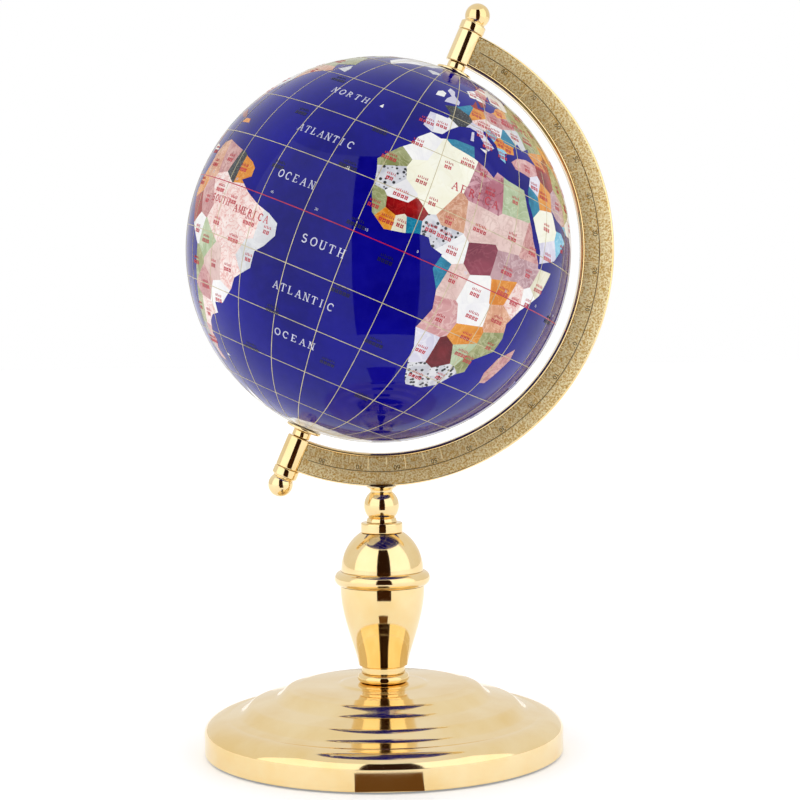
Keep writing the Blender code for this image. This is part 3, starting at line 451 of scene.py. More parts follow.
# Near-white gold for the ridged line and the ticks: a painted highlight, paler than the gold plate, so that
# they read as catching the light.
PAINTED_HIGHLIGHT_GOLD = plain_metal("gold line with painted highlight", "#FFF6DA", "#FBE9B8", 0.30, 1.5 * MM)
OCEAN = ocean_resin()
WIRE = plain_ink("inlaid pale brass wire", "#D8CCA4", 0.25)
EQUATOR_WIRE = plain_ink("inlaid rose-red wire", "#C81E48", 0.25)
WHITE_INK = plain_ink("white screen print", "#D9DAF0")
RED_INK = plain_ink("red screen print", "#C8203A")
DARK_INK = plain_ink("navy screen print", "#0B0A3A")
STONES = {name: cut_stone(name, look) for name, look in STONE_LOOKS.items()}


# Base


RIM_TOP = 8.6 * MM  # where the rim's upright wall ends
STEP_WIDTH = 14.25 * MM
STEP_COUNT = 2
SHOULDER_WIDTH = 9.5 * MM
BOSS_RADIUS = 14.0 * MM
BOSS_FOOT_RADIUS = 20.0 * MM
BOSS_RISE = 0.8 * MM
RIM_EDGE = 0.7 * MM  # radius of the rim's foot
DOME_WALL = 0.9 * MM


def base_outline():
    """The dome's outer face from its middle out and down.

    A low boss, then two even waves, and a quarter of an ellipse that rolls into the rim's upright wall,
    whose foot is rounded.
    """
    low, top, bore, radius = reach("base_shell")
    start = radius - SHOULDER_WIDTH - STEP_COUNT * STEP_WIDTH
    level = top - BOSS_RISE
    fall = (level - RIM_TOP) / (STEP_COUNT + 1)
    points = [np.array([[bore, top], [BOSS_RADIUS, top]])]
    points.append(wave(BOSS_RADIUS, BOSS_FOOT_RADIUS, top, level))
    points.append(np.array([[start, level]]))
    for _ in range(STEP_COUNT):
        points.append(wave(start, start + STEP_WIDTH, level, level - fall))
        start += STEP_WIDTH
        level -= fall
    angle = np.linspace(0.0, math.pi / 2.0, 25)[1:]
    roll = [start + SHOULDER_WIDTH * np.sin(angle), RIM_TOP + fall * np.cos(angle)]
    points.append(np.stack(roll, -1))
    angle = np.linspace(0.0, math.pi / 2.0, 7)
    foot = [radius - RIM_EDGE * (1.0 - np.cos(angle)), low + RIM_EDGE * (1.0 - np.sin(angle))]
    points.append(np.stack(foot, -1))
    return np.concatenate(points)


outer = base_outline()
inner = inset(outer, DOME_WALL)
inner[0, 0] = outer[0, 0]
shell = np.concatenate([outer, inner[-8::-1]])
turned("base_dome", shell, GOLD, "stand", ["base_shell"], steps=STEPS)

low, high, _, radius = reach("felt_pad")
edge = 0.4 * MM
pad = rounded([(0.0, low), (radius, low), (radius, high), (0.0, high)], edge)
turned("felt_foot", pad, FELT, "stand", ["felt_pad"], steps=STEPS)


# Column


def rolled_ring(node):
    """A ring whose outer edge is half round: radius minus half the height, plus a half circle."""
    low, high, bore, radius = reach(node)
    low -= SEAM
    half = (high - low) / 2.0
    side = bow((radius - half, low + half), (half, half), -90.0, 90.0, 24)
    return np.concatenate([[(bore, low)], side, [(bore, high)]])


def urn_outline():
    """A vase: a hollow neck, a small roll at its foot, and a wall that swells along a sine."""
    low, high, bore, radius = reach("urn_body")
    neck = 8.7 * MM
    foot = 9.7 * MM
    neck_top = low + 2.6 * MM
    share = np.linspace(0.0, 1.0, 40)
    wall_radius = foot + (radius - foot) * np.sin(share * math.pi / 2.0) ** 1.25
    wall = np.stack([wall_radius, neck_top + 0.3 * MM + share * (high - neck_top - 0.3 * MM)], -1)
    stem = rounded([(bore, low - SEAM), (neck, low - SEAM), (neck - 0.2 * MM, neck_top), wall[0]], 0.5 * MM)
    return np.concatenate([stem, wall[1:], [(bore, high)]])


def cap_outline():
    """A dome: radius falls as a cosine while the level rises as a sine, up to a flat top."""
    low, high, bore, radius = reach("urn_cap")
    top = 8.7 * MM
    end = math.acos(top / radius)
    angle = np.linspace(0.0, end, 32)
    wall = np.stack([radius * np.cos(angle), low + (high - low) * np.sin(angle) / math.sin(end)], -1)
    return np.concatenate([[(bore, low - SEAM), (radius, low - SEAM)], wall, [(bore, high)]])


def ball_on_neck():
    """A ball cut flat at its top, on a short waisted neck."""
    low, high, _, radius = reach("column_ball")
    neck = 5.9 * MM
    neck_top = low + 1.4 * MM
    top_radius = 4.3 * MM
    centre = high - math.sqrt(radius**2 - top_radius**2)
    start = math.degrees(math.asin((neck_top - centre) / radius))
    end = math.degrees(math.asin((high - centre) / radius))
    ball = bow((0.0, centre), (radius, radius), start, end, 32)
    corners = [(0.0, low - SEAM), (neck + 0.2 * MM, low - SEAM), (neck - 0.3 * MM, neck_top), ball[0]]
    stem = rounded(corners, 0.4 * MM)
    return np.concatenate([stem, ball[1:], [(0.0, high)]])


turned("foot_roll", rolled_ring("foot_ring"), GOLD, "stand", ["foot_ring"])
turned("vase", urn_outline(), GOLD, "stand", ["urn_body"], steps=STEPS)
turned("vase_lip", rolled_ring("bead_ring"), GOLD, "stand", ["bead_ring"], steps=STEPS)
turned("vase_dome", cap_outline(), GOLD, "stand", ["urn_cap"], steps=STEPS)

low, high, bore, radius = reach("column_collar")
low -= SEAM
collar = [(bore, low), (radius, low), (radius, (low + high) / 2.0), (radius, high), (bore, high)]
collar = rounded(collar, 0.7 * MM)
turned("collar", collar, GOLD, "stand", ["column_collar"])
turned("column_knob", ball_on_neck(), GOLD, "stand", ["column_ball"])

low, high, bore, radius = reach("arm_saddle")
share = np.linspace(0.0, 1.0, 12)
flare = np.stack([4.3 * MM + (radius - 4.3 * MM) * share**2.2, low - SEAM + (high - low + SEAM) * share], -1)
saddle = np.concatenate([[(bore, low - SEAM)], flare, [(radius, high + SEAM), (bore, high + SEAM)]])
turned("saddle", saddle, GOLD, "stand", ["arm_saddle"])


# Pieces at each pole


def pole_pieces(side, axes):
    """The barrel, pin, finial and bush of one pole, as rounded versions of their outlines."""
    low, high, bore, radius = reach(f"{side}_barrel", axes)
    barrel = rounded([(bore, low), (radius, low), (radius, high), (bore, high)], 0.5 * MM)
    turned(f"{side}_boss", barrel, GOLD, "stand", [f"{side}_barrel"], axes)

    low, high, _, shoulder = reach(f"{side}_pivot_pin", axes)
    pin = 2.0 * MM
    waist = 76.6 * MM
    thread = 2.5 * MM
    seat = 79.0 * MM
    corners = [(0.0, low), (pin, low), (pin, waist), (shoulder, waist), (shoulder, seat)]
    corners += [(thread, seat + 0.2 * MM), (thread, high), (0.0, high)]
    profile = rounded(corners, 0.3 * MM)
    turned(f"{side}_pin", profile, GOLD, "stand", [f"{side}_pivot_pin"], axes)

    low, high, _, radius = reach(f"{side}_finial", axes)
    low -= SEAM
    ball = 4.84 * MM
    centre = high - ball
    step = 4.3 * MM
    neck = centre - math.sqrt(ball**2 - (step - 0.4 * MM) ** 2)
    corners = [(0.0, low), (radius, low), (radius, neck - 0.7 * MM), (step, neck - 0.6 * MM)]
    corners += [(step - 0.1 * MM, neck - 0.1 * MM), (step - 0.4 * MM, neck)]
    start = -math.degrees(math.acos((step - 0.4 * MM) / ball))
    top = bow((0.0, centre), (ball, ball), start, 90.0, 32)
    top[-1, 0] = 0.0
    profile = np.concatenate([rounded(corners, 0.6 * MM), top[1:]])
    turned(f"{side}_knob", profile, GOLD, "stand", [f"{side}_finial"], axes)

    low, high, bore, radius = reach(f"{side}_pole_bush", axes)
    sleeve = 4.2 * MM
    under = high - 1.3 * MM
    corners = [(bore, low), (sleeve, low), (sleeve, under), (radius, under), (radius, high - 0.3 * MM)]
    corners += [(radius - 1.2 * MM, high), (bore, high)]
    profile = rounded(corners, 0.4 * MM)
    turned(f"{side}_bush", profile, GOLD, "globe", [f"{side}_pole_bush"], axes)


pole_pieces("north", NORTH_AXES)
pole_pieces("south", SOUTH_AXES)


# Meridian arm

ARM_INNER = 79.3 * MM
ARM_OUTER = 92.15 * MM
ARM_HALF_DEPTH = 3.25 * MM
ARM_FACE = 2.95 * MM  # of the sanded faces, from the arm's middle plane
ARM_LIP = 1.3 * MM
ARM_SEAT = 4.95 * MM  # of the hollow round each barrel
SCRIBE_RADIUS = ARM_INNER + 0.56 * (ARM_OUTER - ARM_INNER)


def arm_point(radius, depth, angle):
    """A point of the arm's own plane: radius sin(angle) east, depth to the back, radius cos(angle) north."""
    return np.stack([radius * np.sin(angle), depth + 0.0 * angle, radius * np.cos(angle)], -1)


def arm_body(rows=220):
    """A section swept half way round the globe: a half-round lip, a sanded face and a bevelled edge.

    Each corner of the section starts where it meets the barrel: at the angle whose sine is
    sqrt(seat^2 - depth^2) / radius, and ends as far before the other pole.
    """
    bead = ARM_LIP / 2.0
    root = ARM_FACE - 0.2 * MM
    lip = bow((ARM_INNER + bead, root), (bead, ARM_HALF_DEPTH - root), 180.0, 0.0, 8)
    flat = [(ARM_INNER + ARM_LIP + 0.1 * MM, ARM_FACE), (ARM_OUTER - 0.75 * MM, ARM_FACE)]
    edge = [(ARM_OUTER - 0.25 * MM, ARM_FACE - 0.15 * MM), (ARM_OUTER, ARM_FACE - 0.6 * MM)]
    half = np.concatenate([lip, flat, edge])
    section = np.concatenate([half, half[::-1] * (1.0, -1.0)])
    on_face = np.isclose(np.abs(section[:, 1]), ARM_FACE)
    polished = 1 - (on_face & np.roll(on_face, -1)).astype(int)
    radius, depth = section.T
    start = np.arcsin(np.sqrt(ARM_SEAT**2 - depth**2) / radius)
    share = np.linspace(0.0, 1.0, rows + 1)[:, None]
    angle = start + (math.pi - 2.0 * start) * share
    points = arm_point(radius, depth, angle)
    count = len(section)
    index = np.arange(points.size // 3).reshape(rows + 1, count)
    here = index[:-1]
    ahead = index[1:]
    sides = np.stack([here, np.roll(here, -1, 1), np.roll(ahead, -1, 1), ahead], -1).reshape(-1, 4)
    middle = 0.5 * (ARM_INNER + ARM_OUTER)
    reach_in = math.asin(ARM_SEAT / middle)
    ends = arm_point(middle, 0.0, np.array([reach_in, math.pi - reach_in]))
    first = points.size // 3
    near_end = np.full(count, first)
    far_end = near_end + 1
    near_fan = np.stack([np.roll(index[0], -1), index[0], near_end, near_end], -1)
    far_fan = np.stack([index[-1], np.roll(index[-1], -1), far_end, far_end], -1)
    faces = np.concatenate([sides, near_fan, far_fan])
    points = np.concatenate([points.reshape(-1, 3), ends])
    faces = outward(points, faces)
    tones = np.concatenate([np.tile(polished, rows), np.ones(2 * count, int)])
    return points, faces, tones


points, faces, tones = arm_body()
arm = make_piece(
    "arm", placed(points, NORTH_AXES), faces, [SANDED, GOLD], "stand", ["meridian_arm"]
)
arm.data.polygons.foreach_set("material_index", tones.astype(np.int32))


# Lettering: strokes on a cell one high, as (points, weight)

THICK = 0.14
THIN = 0.075
DIGIT = 0.13  # weight of the straight strokes of a number
SERIF = 0.15


def stem(x, low=0.0, high=1.0, weight=THICK):
    """An upright stroke with a serif across each end that touches a guide line."""
    strokes = [(np.array([(x, low), (x, high)]), weight)]
    for level in (low, high):
        if level in (0.0, 1.0):
            strokes.append((np.array([(x - SERIF, level), (x + SERIF, level)]), THIN))
    return strokes


def line(*points, weight=THIN):
    return [(np.array(points), weight)]


def curve(*args, weight=THICK):
    return [(bow(*args), weight)]


LETTERS = {
    "A": line((0.08, 0.0), (0.4, 1.0)) + line((0.4, 1.0), (0.72, 0.0), weight=THICK)
    + line((0.2, 0.36), (0.6, 0.36)) + line((-0.04, 0.0), (0.22, 0.0)) + line((0.56, 0.0), (0.88, 0.0)),
    "C": curve((0.42, 0.5), (0.36, 0.48), 48.0, 312.0, 16) + line((0.7, 0.68), (0.7, 0.92)),
    "D": stem(0.15) + curve((0.18, 0.5), (0.5, 0.46), 90.0, -90.0),
    "E": stem(0.15) + line((0.15, 0.97), (0.66, 0.97)) + line((0.15, 0.52), (0.5, 0.52))
    + line((0.15, 0.03), (0.68, 0.03)) + line((0.68, 0.03), (0.68, 0.24)) + line((0.66, 0.97), (0.66, 0.78)),
    "F": stem(0.15) + line((0.15, 0.97), (0.66, 0.97)) + line((0.15, 0.52), (0.5, 0.52)),
    "H": stem(0.15) + stem(0.68) + line((0.15, 0.52), (0.68, 0.52)),
    "I": stem(0.25),
    "L": stem(0.15) + line((0.15, 0.03), (0.66, 0.03)) + line((0.66, 0.03), (0.66, 0.26)),
    "M": stem(0.12, weight=THIN) + line((0.14, 1.0), (0.45, 0.08), weight=THICK)
    + line((0.45, 0.08), (0.76, 1.0)) + stem(0.78),
    "N": stem(0.13, weight=THIN) + line((0.13, 1.0), (0.7, 0.0), weight=THICK) + stem(0.7, weight=THIN),
    "O": curve((0.42, 0.5), (0.37, 0.47), 0.0, 360.0, 20),
    "P": stem(0.15) + curve((0.18, 0.74), (0.4, 0.23), 90.0, -90.0),
    "R": stem(0.15) + curve((0.18, 0.74), (0.4, 0.23), 90.0, -90.0)
    + line((0.35, 0.5), (0.74, 0.02), weight=THICK),
    "S": curve((0.38, 0.74), (0.25, 0.23), 30.0, 270.0) + curve((0.38, 0.27), (0.28, 0.25), 90.0, -150.0),
    "T": stem(0.38) + line((0.02, 0.97), (0.74, 0.97)) + line((0.02, 0.97), (0.02, 0.76))
    + line((0.74, 0.97), (0.74, 0.76)),
    "U": stem(0.13, 0.3) + curve((0.4, 0.3), (0.27, 0.28), 180.0, 360.0) + stem(0.67, 0.3, weight=THIN),
    "0": curve((0.35, 0.5), (0.26, 0.47), 0.0, 360.0, 16),
    "1": line((0.35, 0.0), (0.35, 1.0), weight=THICK) + line((0.35, 1.0), (0.15, 0.8)),
    "2": curve((0.35, 0.7), (0.26, 0.28), 170.0, -35.0)
    + line((0.56, 0.54), (0.1, 0.03), (0.62, 0.03), weight=DIGIT),
    "3": curve((0.32, 0.74), (0.26, 0.23), 150.0, -90.0) + curve((0.32, 0.26), (0.3, 0.25), 90.0, -150.0),
    "4": line((0.48, 0.0), (0.48, 1.0), (0.05, 0.3), (0.68, 0.3), weight=DIGIT),
    "5": line((0.58, 0.97), (0.16, 0.97), (0.12, 0.55), weight=DIGIT)
    + curve((0.32, 0.31), (0.28, 0.29), 130.0, -150.0),
    "6": curve((0.35, 0.3), (0.27, 0.28), 0.0, 360.0, 14)
    + line((0.1, 0.38), (0.2, 0.75), (0.5, 0.98), weight=DIGIT),
    "7": line((0.08, 0.97), (0.62, 0.97), (0.26, 0.0), weight=0.14),
    "8": curve((0.35, 0.75), (0.22, 0.22), 0.0, 360.0, 14)
    + curve((0.35, 0.27), (0.27, 0.26), 0.0, 360.0, 14),
    "9": curve((0.35, 0.7), (0.27, 0.28), 0.0, 360.0, 14)
    + line((0.6, 0.62), (0.5, 0.25), (0.2, 0.02), weight=DIGIT),
}


def written(text, height, pitch):
    """Strokes of a line of text centred on the origin, as (points, width) in metres."""
    start = -0.5 * (len(text) - 1) * pitch - 0.4 * height
    strokes = []
    for place, letter in enumerate(text):
        for points, weight in LETTERS.get(letter, []):
            moved = points * height + (start + place * pitch, -0.5 * height)
            strokes.append((moved, weight * height))
    return strokes


def directions(longitude, latitude):
    """Unit vectors on the globe's own axes: cos(lat) sin(lon), -cos(lat) cos(lon), sin(lat)."""
    east = np.radians(np.asarray(longitude, float) - FACING_LONGITUDE)
    north = np.radians(np.asarray(latitude, float))
    return np.stack([np.cos(north) * np.sin(east), -np.cos(north) * np.cos(east), np.sin(north)], -1)


def inked(strokes, longitude, latitude, ball, low, high):
    """Strokes laid on the ball along a parallel: x turns into longitude and y into latitude."""
    parts = []
    for points, width in strokes:
        lat = latitude + np.degrees(points[:, 1] / ball)
        lon = longitude + np.degrees(points[:, 0] / ball) / math.cos(math.radians(latitude))
        out = directions(lon, lat)
        along = np.gradient(out, axis=0)
        across = np.cross(out, along)
        across /= np.linalg.norm(across, axis=1)[:, None]
        parts.append(band(out * ball, across, out, width, low, high))
    return parts


# Scale on the arm: a scribed line, a tick at each degree, and numbers at each ten


LINE_WIDTH = 0.30 * MM
RIDGE_HEIGHT = 0.16 * MM
RIDGE_CREST = 0.2  # of a ridge's width
TICK_LENGTHS = (5.0 * MM, 3.0 * MM, 1.1 * MM)  # each ten degrees, each five and each one
TICK_WIDTHS = (0.42 * MM, 0.22 * MM)  # each five degrees and each one
NUMBER_TURN = 2.4  # degrees between a number on the arm and its tick
NUMBER_DROP = 1.6 * MM  # of a number's middle below the line
NUMBER_HEIGHT = 1.7 * MM
NUMBER_PITCH = 1.3 * MM


def arm_scale():
    """The ridged line and the ticks, in pale gold that paints a highlight on them, and the band of painted
    shade beside the line and the numbers, in gold darkened as painted shade, each as its own list of shapes.
    """
    lines = []
    marks = []
    sunk = -0.05 * MM
    proud = 0.012 * MM
    for side in (-1.0, 1.0):
        out = np.array([0.0, side, 0.0])
        angle = np.linspace(math.radians(4.2), math.radians(175.8), 240)
        path = arm_point(SCRIBE_RADIUS, side * ARM_FACE, angle)
        radial = arm_point(1.0, 0.0, angle)
        # A real ridge along the line, coloured in pale gold: painted highlight.
        lines.append(band(path, radial, out + 0.0 * path, LINE_WIDTH, sunk, RIDGE_HEIGHT, crest=RIDGE_CREST))
        # A dark band just proud of the face beside the ridge: painted shade.
        shade = arm_point(SCRIBE_RADIUS - 0.24 * MM, side * ARM_FACE, angle)
        marks.append(band(shade, radial, out + 0.0 * shade, 0.2 * MM, sunk, proud))
        for degree in range(5, 176):
            length = TICK_LENGTHS[0 if degree % 10 == 0 else 1 if degree % 5 == 0 else 2]
            width = TICK_WIDTHS[0 if degree % 5 == 0 else 1]
            turn = math.radians(degree)
            ends = np.array([ARM_INNER + ARM_LIP, ARM_INNER + ARM_LIP + length])
            path = arm_point(ends, side * ARM_FACE, np.array([turn, turn]))
            across = np.array([[math.cos(turn), 0.0, -math.sin(turn)]] * 2)
            # Each tick is a real ridge in pale gold: painted highlight.
            lines.append(band(path, across, out + 0.0 * path, width, sunk, RIDGE_HEIGHT, crest=RIDGE_CREST))
        # Numbers in darkened gold, just proud of the face: painted shade for engraved numbers.
        for degree in range(10, 171, 10):
            turn = math.radians(degree + NUMBER_TURN)
            up = np.array([math.sin(turn), 0.0, math.cos(turn)])
            right = np.cross(out, up)
            middle = up * (SCRIBE_RADIUS - NUMBER_DROP) + out * ARM_FACE
            for points, stroke in written(str(abs(90 - degree)), NUMBER_HEIGHT, NUMBER_PITCH):
                path = middle - points[:, :1] * right + points[:, 1:] * up
                across = np.cross(out, np.gradient(path, axis=0))
                across /= np.linalg.norm(across, axis=1)[:, None]
                marks.append(band(path, across, out + 0.0 * path, stroke, sunk, proud))
    return lines, marks


highlight_ridges, painted_shade_marks = arm_scale()
# The ridged line and the ticks, in pale gold: painted highlight.
points, faces = gathered(highlight_ridges)
make_piece("arm_line", placed(points, NORTH_AXES), faces, [PAINTED_HIGHLIGHT_GOLD], "stand")
# The shade band and the numbers, in darkened gold: painted shade.
points, faces = gathered(painted_shade_marks)
make_piece("arm_scale", placed(points, NORTH_AXES), faces, [PAINTED_SHADE_GOLD], "stand")


# Ball

BALL = 75.0 * MM
_, _, hole, _ = reach("ocean_layer", NORTH_AXES)
skin_outer = BALL - SKIN_DEPTH
skin_inner = 72.8 * MM
outside = math.degrees(math.acos(hole / skin_outer))
inside = math.degrees(math.acos(hole / skin_inner))
skin = np.concatenate(
    [
        bow((0.0, 0.0), (skin_outer, skin_outer), -outside, outside, 120),
        bow((0.0, 0.0), (skin_inner, skin_inner), inside, -inside, 60),
    ]
)
turned("ocean", skin, OCEAN, "globe", ["ocean_layer"], NORTH_AXES, 240)


# Stones: each coast is (longitude, latitude) points, and each seed (longitude, latitude, stone) is
# the middle of one tile. The ground nearest to a seed is cut from its stone.

AFRICA = [
    (-5.9, 35.8), (-2.0, 35.1), (3.0, 36.9), (10.2, 37.3), (11.0, 33.5), (15.4, 32.2), (19.0, 30.3),
    (20.2, 32.6), (25.0, 31.6), (32.3, 31.2), (34.0, 26.5), (37.2, 20.9), (38.6, 18.0), (43.1, 12.6),
    (43.3, 11.4), (51.2, 11.9), (48.0, 4.5), (41.6, -1.7), (38.9, -6.5), (40.6, -10.8), (40.4, -15.2),
    (34.8, -19.9), (35.5, -24.0), (32.8, -26.0), (30.0, -31.2), (25.7, -34.0), (20.0, -34.8),
    (18.2, -33.0), (15.2, -27.0), (14.4, -22.8), (11.8, -17.5), (13.7, -11.0), (12.2, -5.9),
    (8.8, -0.9), (9.8, 3.5), (6.0, 4.3), (4.5, 6.3), (1.2, 6.1), (-2.0, 4.8), (-7.7, 3.6),
    (-12.4, 6.6), (-13.4, 9.0), (-14.6, 11.6), (-15.2, 14.8), (-16.0, 18.0), (-17.4, 21.2), (-12.9, 27.0),
    (-9.8, 29.8), (-9.2, 32.4),
]
AFRICA_SEEDS = [
    (3.0, 28.0, "ivory_onyx"), (-8.5, 31.0, "white_quartz"), (-14.4, 23.4, "olive_jade"),
    (-11.8, 18.0, "dalmatian_jasper"), (-3.0, 20.5, "ivory_onyx"), (-7.0, 14.6, "white_quartz"),
    (2.0, 16.0, "ivory_onyx"),
    (-12.8, 9.2, "olive_jade"), (-7.9, 6.6, "orange_calcite"), (-4.0, 6.9, "cream_marble"),
    (-1.2, 7.8, "teal_howlite"), (-6.6, 10.6, "red_jasper"), (-1.6, 11.0, "red_jasper"),
    (4.3, 9.0, "dalmatian_jasper"), (8.5, 8.8, "dalmatian_jasper"), (8.2, 13.0, "salmon_jasper"),
    (9.6, 35.9, "teal_howlite"), (9.0, 31.5, "ivory_onyx"), (15.0, 30.5, "rhodonite"),
    (18.5, 26.0, "rhodonite"), (18.0, 14.5, "pale_rose_quartz"),
    (28.5, 27.0, "green_aventurine"), (29.5, 16.5, "pale_rose_quartz"), (31.0, 7.0, "grey_rose_quartz"),
    (39.5, 9.0, "grey_rose_quartz"), (39.0, 15.3, "thulite"), (46.5, 6.5, "cream_marble"),
    (43.5, 1.5, "white_quartz"), (37.8, 0.2, "streaked_pink"), (32.4, 1.5, "orange_calcite"),
    (20.5, 6.7, "mauve_jasper"), (12.0, 5.8, "white_quartz"), (10.5, -0.5, "teal_howlite"),
    (15.3, -1.2, "pale_rose_quartz"), (23.5, -2.0, "white_quartz"), (26.0, -8.0, "white_quartz"),
    (17.0, -12.3, "pink_marble"), (27.5, -14.0, "orange_calcite"), (34.8, -6.3, "salmon_jasper"),
    (37.5, -14.0, "olive_jade"), (33.5, -20.0, "olive_jade"), (29.8, -19.0, "green_aventurine"),
    (23.8, -22.2, "garnet"), (17.0, -22.5, "moonstone"), (21.0, -30.5, "dalmatian_jasper"),
    (28.5, -28.0, "dalmatian_jasper"),
]
SOUTH_AMERICA = [
    (-77.4, 7.6), (-75.5, 10.7), (-71.8, 12.1), (-64.0, 10.5), (-61.5, 10.0), (-59.0, 9.6), (-57.2, 8.6),
    (-53.8, 7.6), (-51.8, 6.2), (-51.4, 3.6), (-54.6, 1.9), (-50.1, -0.8), (-44.8, -3.0),
    (-40.0, -4.2), (-36.4, -5.9), (-35.8, -9.3), (-38.4, -13.0), (-41.2, -15.4),
    (-41.5, -20.3), (-47.5, -24.8), (-48.6, -28.3), (-53.4, -33.7),
    (-58.2, -34.4), (-57.4, -37.6), (-62.0, -39.0), (-65.0, -41.5), (-67.3, -45.7), (-65.9, -47.8),
    (-69.0, -51.0), (-66.0, -55.0), (-71.5, -54.5), (-75.3, -50.0), (-74.6, -44.5), (-73.6, -38.0),
    (-71.5, -31.0), (-70.3, -19.5), (-76.2, -14.0), (-81.2, -5.5), (-80.2, -1.5), (-77.3, 3.9),
]
SOUTH_AMERICA_SEEDS = [
    (-55.0, -4.0, "streaked_pink"), (-46.0, -8.0, "streaked_pink"), (-39.0, -8.5, "pearl"),
    (-60.0, -11.0, "streaked_pink"), (-50.5, -14.0, "streaked_pink"), (-43.0, -17.5, "pearl"),
    (-51.0, -22.5, "streaked_pink"), (-63.0, -2.0, "streaked_pink"), (-69.0, -6.0, "thulite"),
    (-65.0, 7.0, "thulite"), (-73.5, 4.5, "salmon_jasper"), (-59.2, 5.4, "black_granite"),
    (-56.2, 5.4, "orange_calcite"), (-78.7, -1.5, "orange_calcite"), (-75.5, -9.5, "red_jasper"),
    (-71.5, -15.0, "white_quartz"), (-64.5, -17.0, "green_aventurine"), (-58.5, -23.0, "pale_rose_quartz"),
    (-55.8, -32.6, "white_quartz"), (-64.0, -30.0, "thulite"), (-65.0, -38.5, "streaked_pink"),
    (-69.0, -48.0, "thulite"), (-70.9, -24.0, "olive_jade"), (-72.0, -37.5, "olive_jade"),
    (-73.5, -48.0, "grey_agate"),
]
NORTH_AMERICA = [
    (-78.2, 8.1), (-83.0, 8.3), (-87.6, 12.9), (-94.5, 16.2), (-101.5, 17.6), (-105.6, 21.0),
    (-112.8, 29.5), (-110.0, 23.5), (-115.0, 29.4), (-117.2, 32.7), (-122.4, 37.0), (-124.3, 41.5),
    (-123.8, 48.0), (-130.5, 54.8), (-141.0, 60.0), (-149.0, 60.0), (-163.5, 54.8), (-158.0, 58.6),
    (-165.0, 61.5), (-161.5, 64.5), (-167.5, 65.6), (-164.0, 68.3), (-156.5, 71.2), (-141.0, 69.6),
    (-126.0, 71.5), (-120.0, 76.0), (-95.0, 80.5), (-70.0, 82.6), (-79.0, 74.5), (-67.0, 69.0),
    (-65.0, 62.8), (-78.0, 64.2), (-86.5, 66.0), (-94.0, 60.0), (-92.5, 57.0), (-82.0, 55.2),
    (-79.5, 51.5), (-78.0, 62.0), (-69.5, 59.5), (-64.5, 60.0), (-56.0, 52.3), (-66.0, 50.1),
    (-60.5, 46.0), (-66.5, 44.5), (-70.4, 43.0), (-75.5, 37.5), (-81.2, 31.2), (-80.4, 25.4),
    (-84.5, 30.0), (-94.5, 29.4), (-97.6, 25.0), (-95.2, 18.6), (-90.6, 19.4), (-86.9, 21.3),
    (-88.6, 16.1), (-83.6, 15.2), (-83.2, 10.2), (-79.0, 9.4),
]
NORTH_AMERICA_SEEDS = [
    (-72.0, 53.0, "olive_jade"), (-84.0, 49.0, "khaki_serpentine"), (-101.0, 55.0, "olive_jade"),
    (-117.0, 57.0, "khaki_serpentine"), (-115.0, 66.0, "olive_jade"), (-132.0, 64.0, "khaki_serpentine"),
    (-152.0, 65.0, "red_jasper"), (-78.0, 79.0, "pearl"), (-98.0, 73.0, "olive_jade"),
    (-75.0, 70.0, "green_aventurine"), (-72.0, 44.5, "salmon_jasper"), (-84.0, 38.0, "pearl"),
    (-98.0, 40.0, "white_quartz"), (-112.0, 42.0, "pearl"), (-120.0, 38.5, "moonstone"),
    (-100.0, 32.0, "streaked_pink"), (-86.0, 32.5, "thulite"), (-104.0, 25.0, "orange_calcite"),
    (-97.0, 18.5, "salmon_jasper"), (-89.0, 15.5, "teal_howlite"), (-85.0, 12.5, "red_jasper"),
    (-80.5, 8.4, "ivory_onyx"), (-112.5, 27.5, "orange_calcite"),
]
GREENLAND = [
    (-72.0, 78.0), (-58.0, 75.6), (-54.0, 69.8), (-50.0, 62.5), (-44.0, 60.0), (-40.5, 64.5),
    (-24.0, 69.5), (-19.0, 76.0), (-20.0, 80.5), (-34.0, 83.0), (-58.0, 81.8),
]
EUROPE = [
    (-5.6, 36.1), (-2.0, 36.8), (0.0, 39.5), (3.2, 42.3), (7.5, 43.7), (10.3, 43.4), (12.3, 41.8),
    (15.8, 38.1), (18.4, 40.1), (13.6, 43.6), (13.2, 45.5), (19.3, 41.9), (21.3, 37.6), (23.6, 36.9),
    (23.4, 40.3), (28.2, 41.4), (28.2, 43.6), (31.5, 46.6), (33.7, 44.6), (38.8, 47.0), (37.8, 44.6),
    (41.6, 41.8), (49.3, 41.6), (47.2, 44.8), (51.5, 47.0), (50.5, 51.4), (59.0, 50.9), (60.5, 56.0),
    (59.5, 63.0), (66.5, 68.2), (46.0, 67.8), (42.0, 66.4), (36.0, 64.2), (40.5, 66.6), (28.5, 71.0),
    (19.5, 69.9), (11.0, 64.2), (5.0, 61.5), (7.0, 58.0), (10.8, 59.0), (13.0, 55.5), (16.2, 56.6),
    (17.4, 61.0), (22.5, 65.6), (21.6, 61.2), (28.5, 60.3), (23.6, 58.9), (21.0, 56.0), (18.5, 54.7),
    (11.0, 54.2), (10.2, 57.5), (8.4, 54.6), (4.6, 52.6), (1.6, 50.6), (-4.7, 48.4), (-1.4, 45.8),
    (-1.8, 43.5), (-9.0, 43.2), (-9.3, 37.4),
]
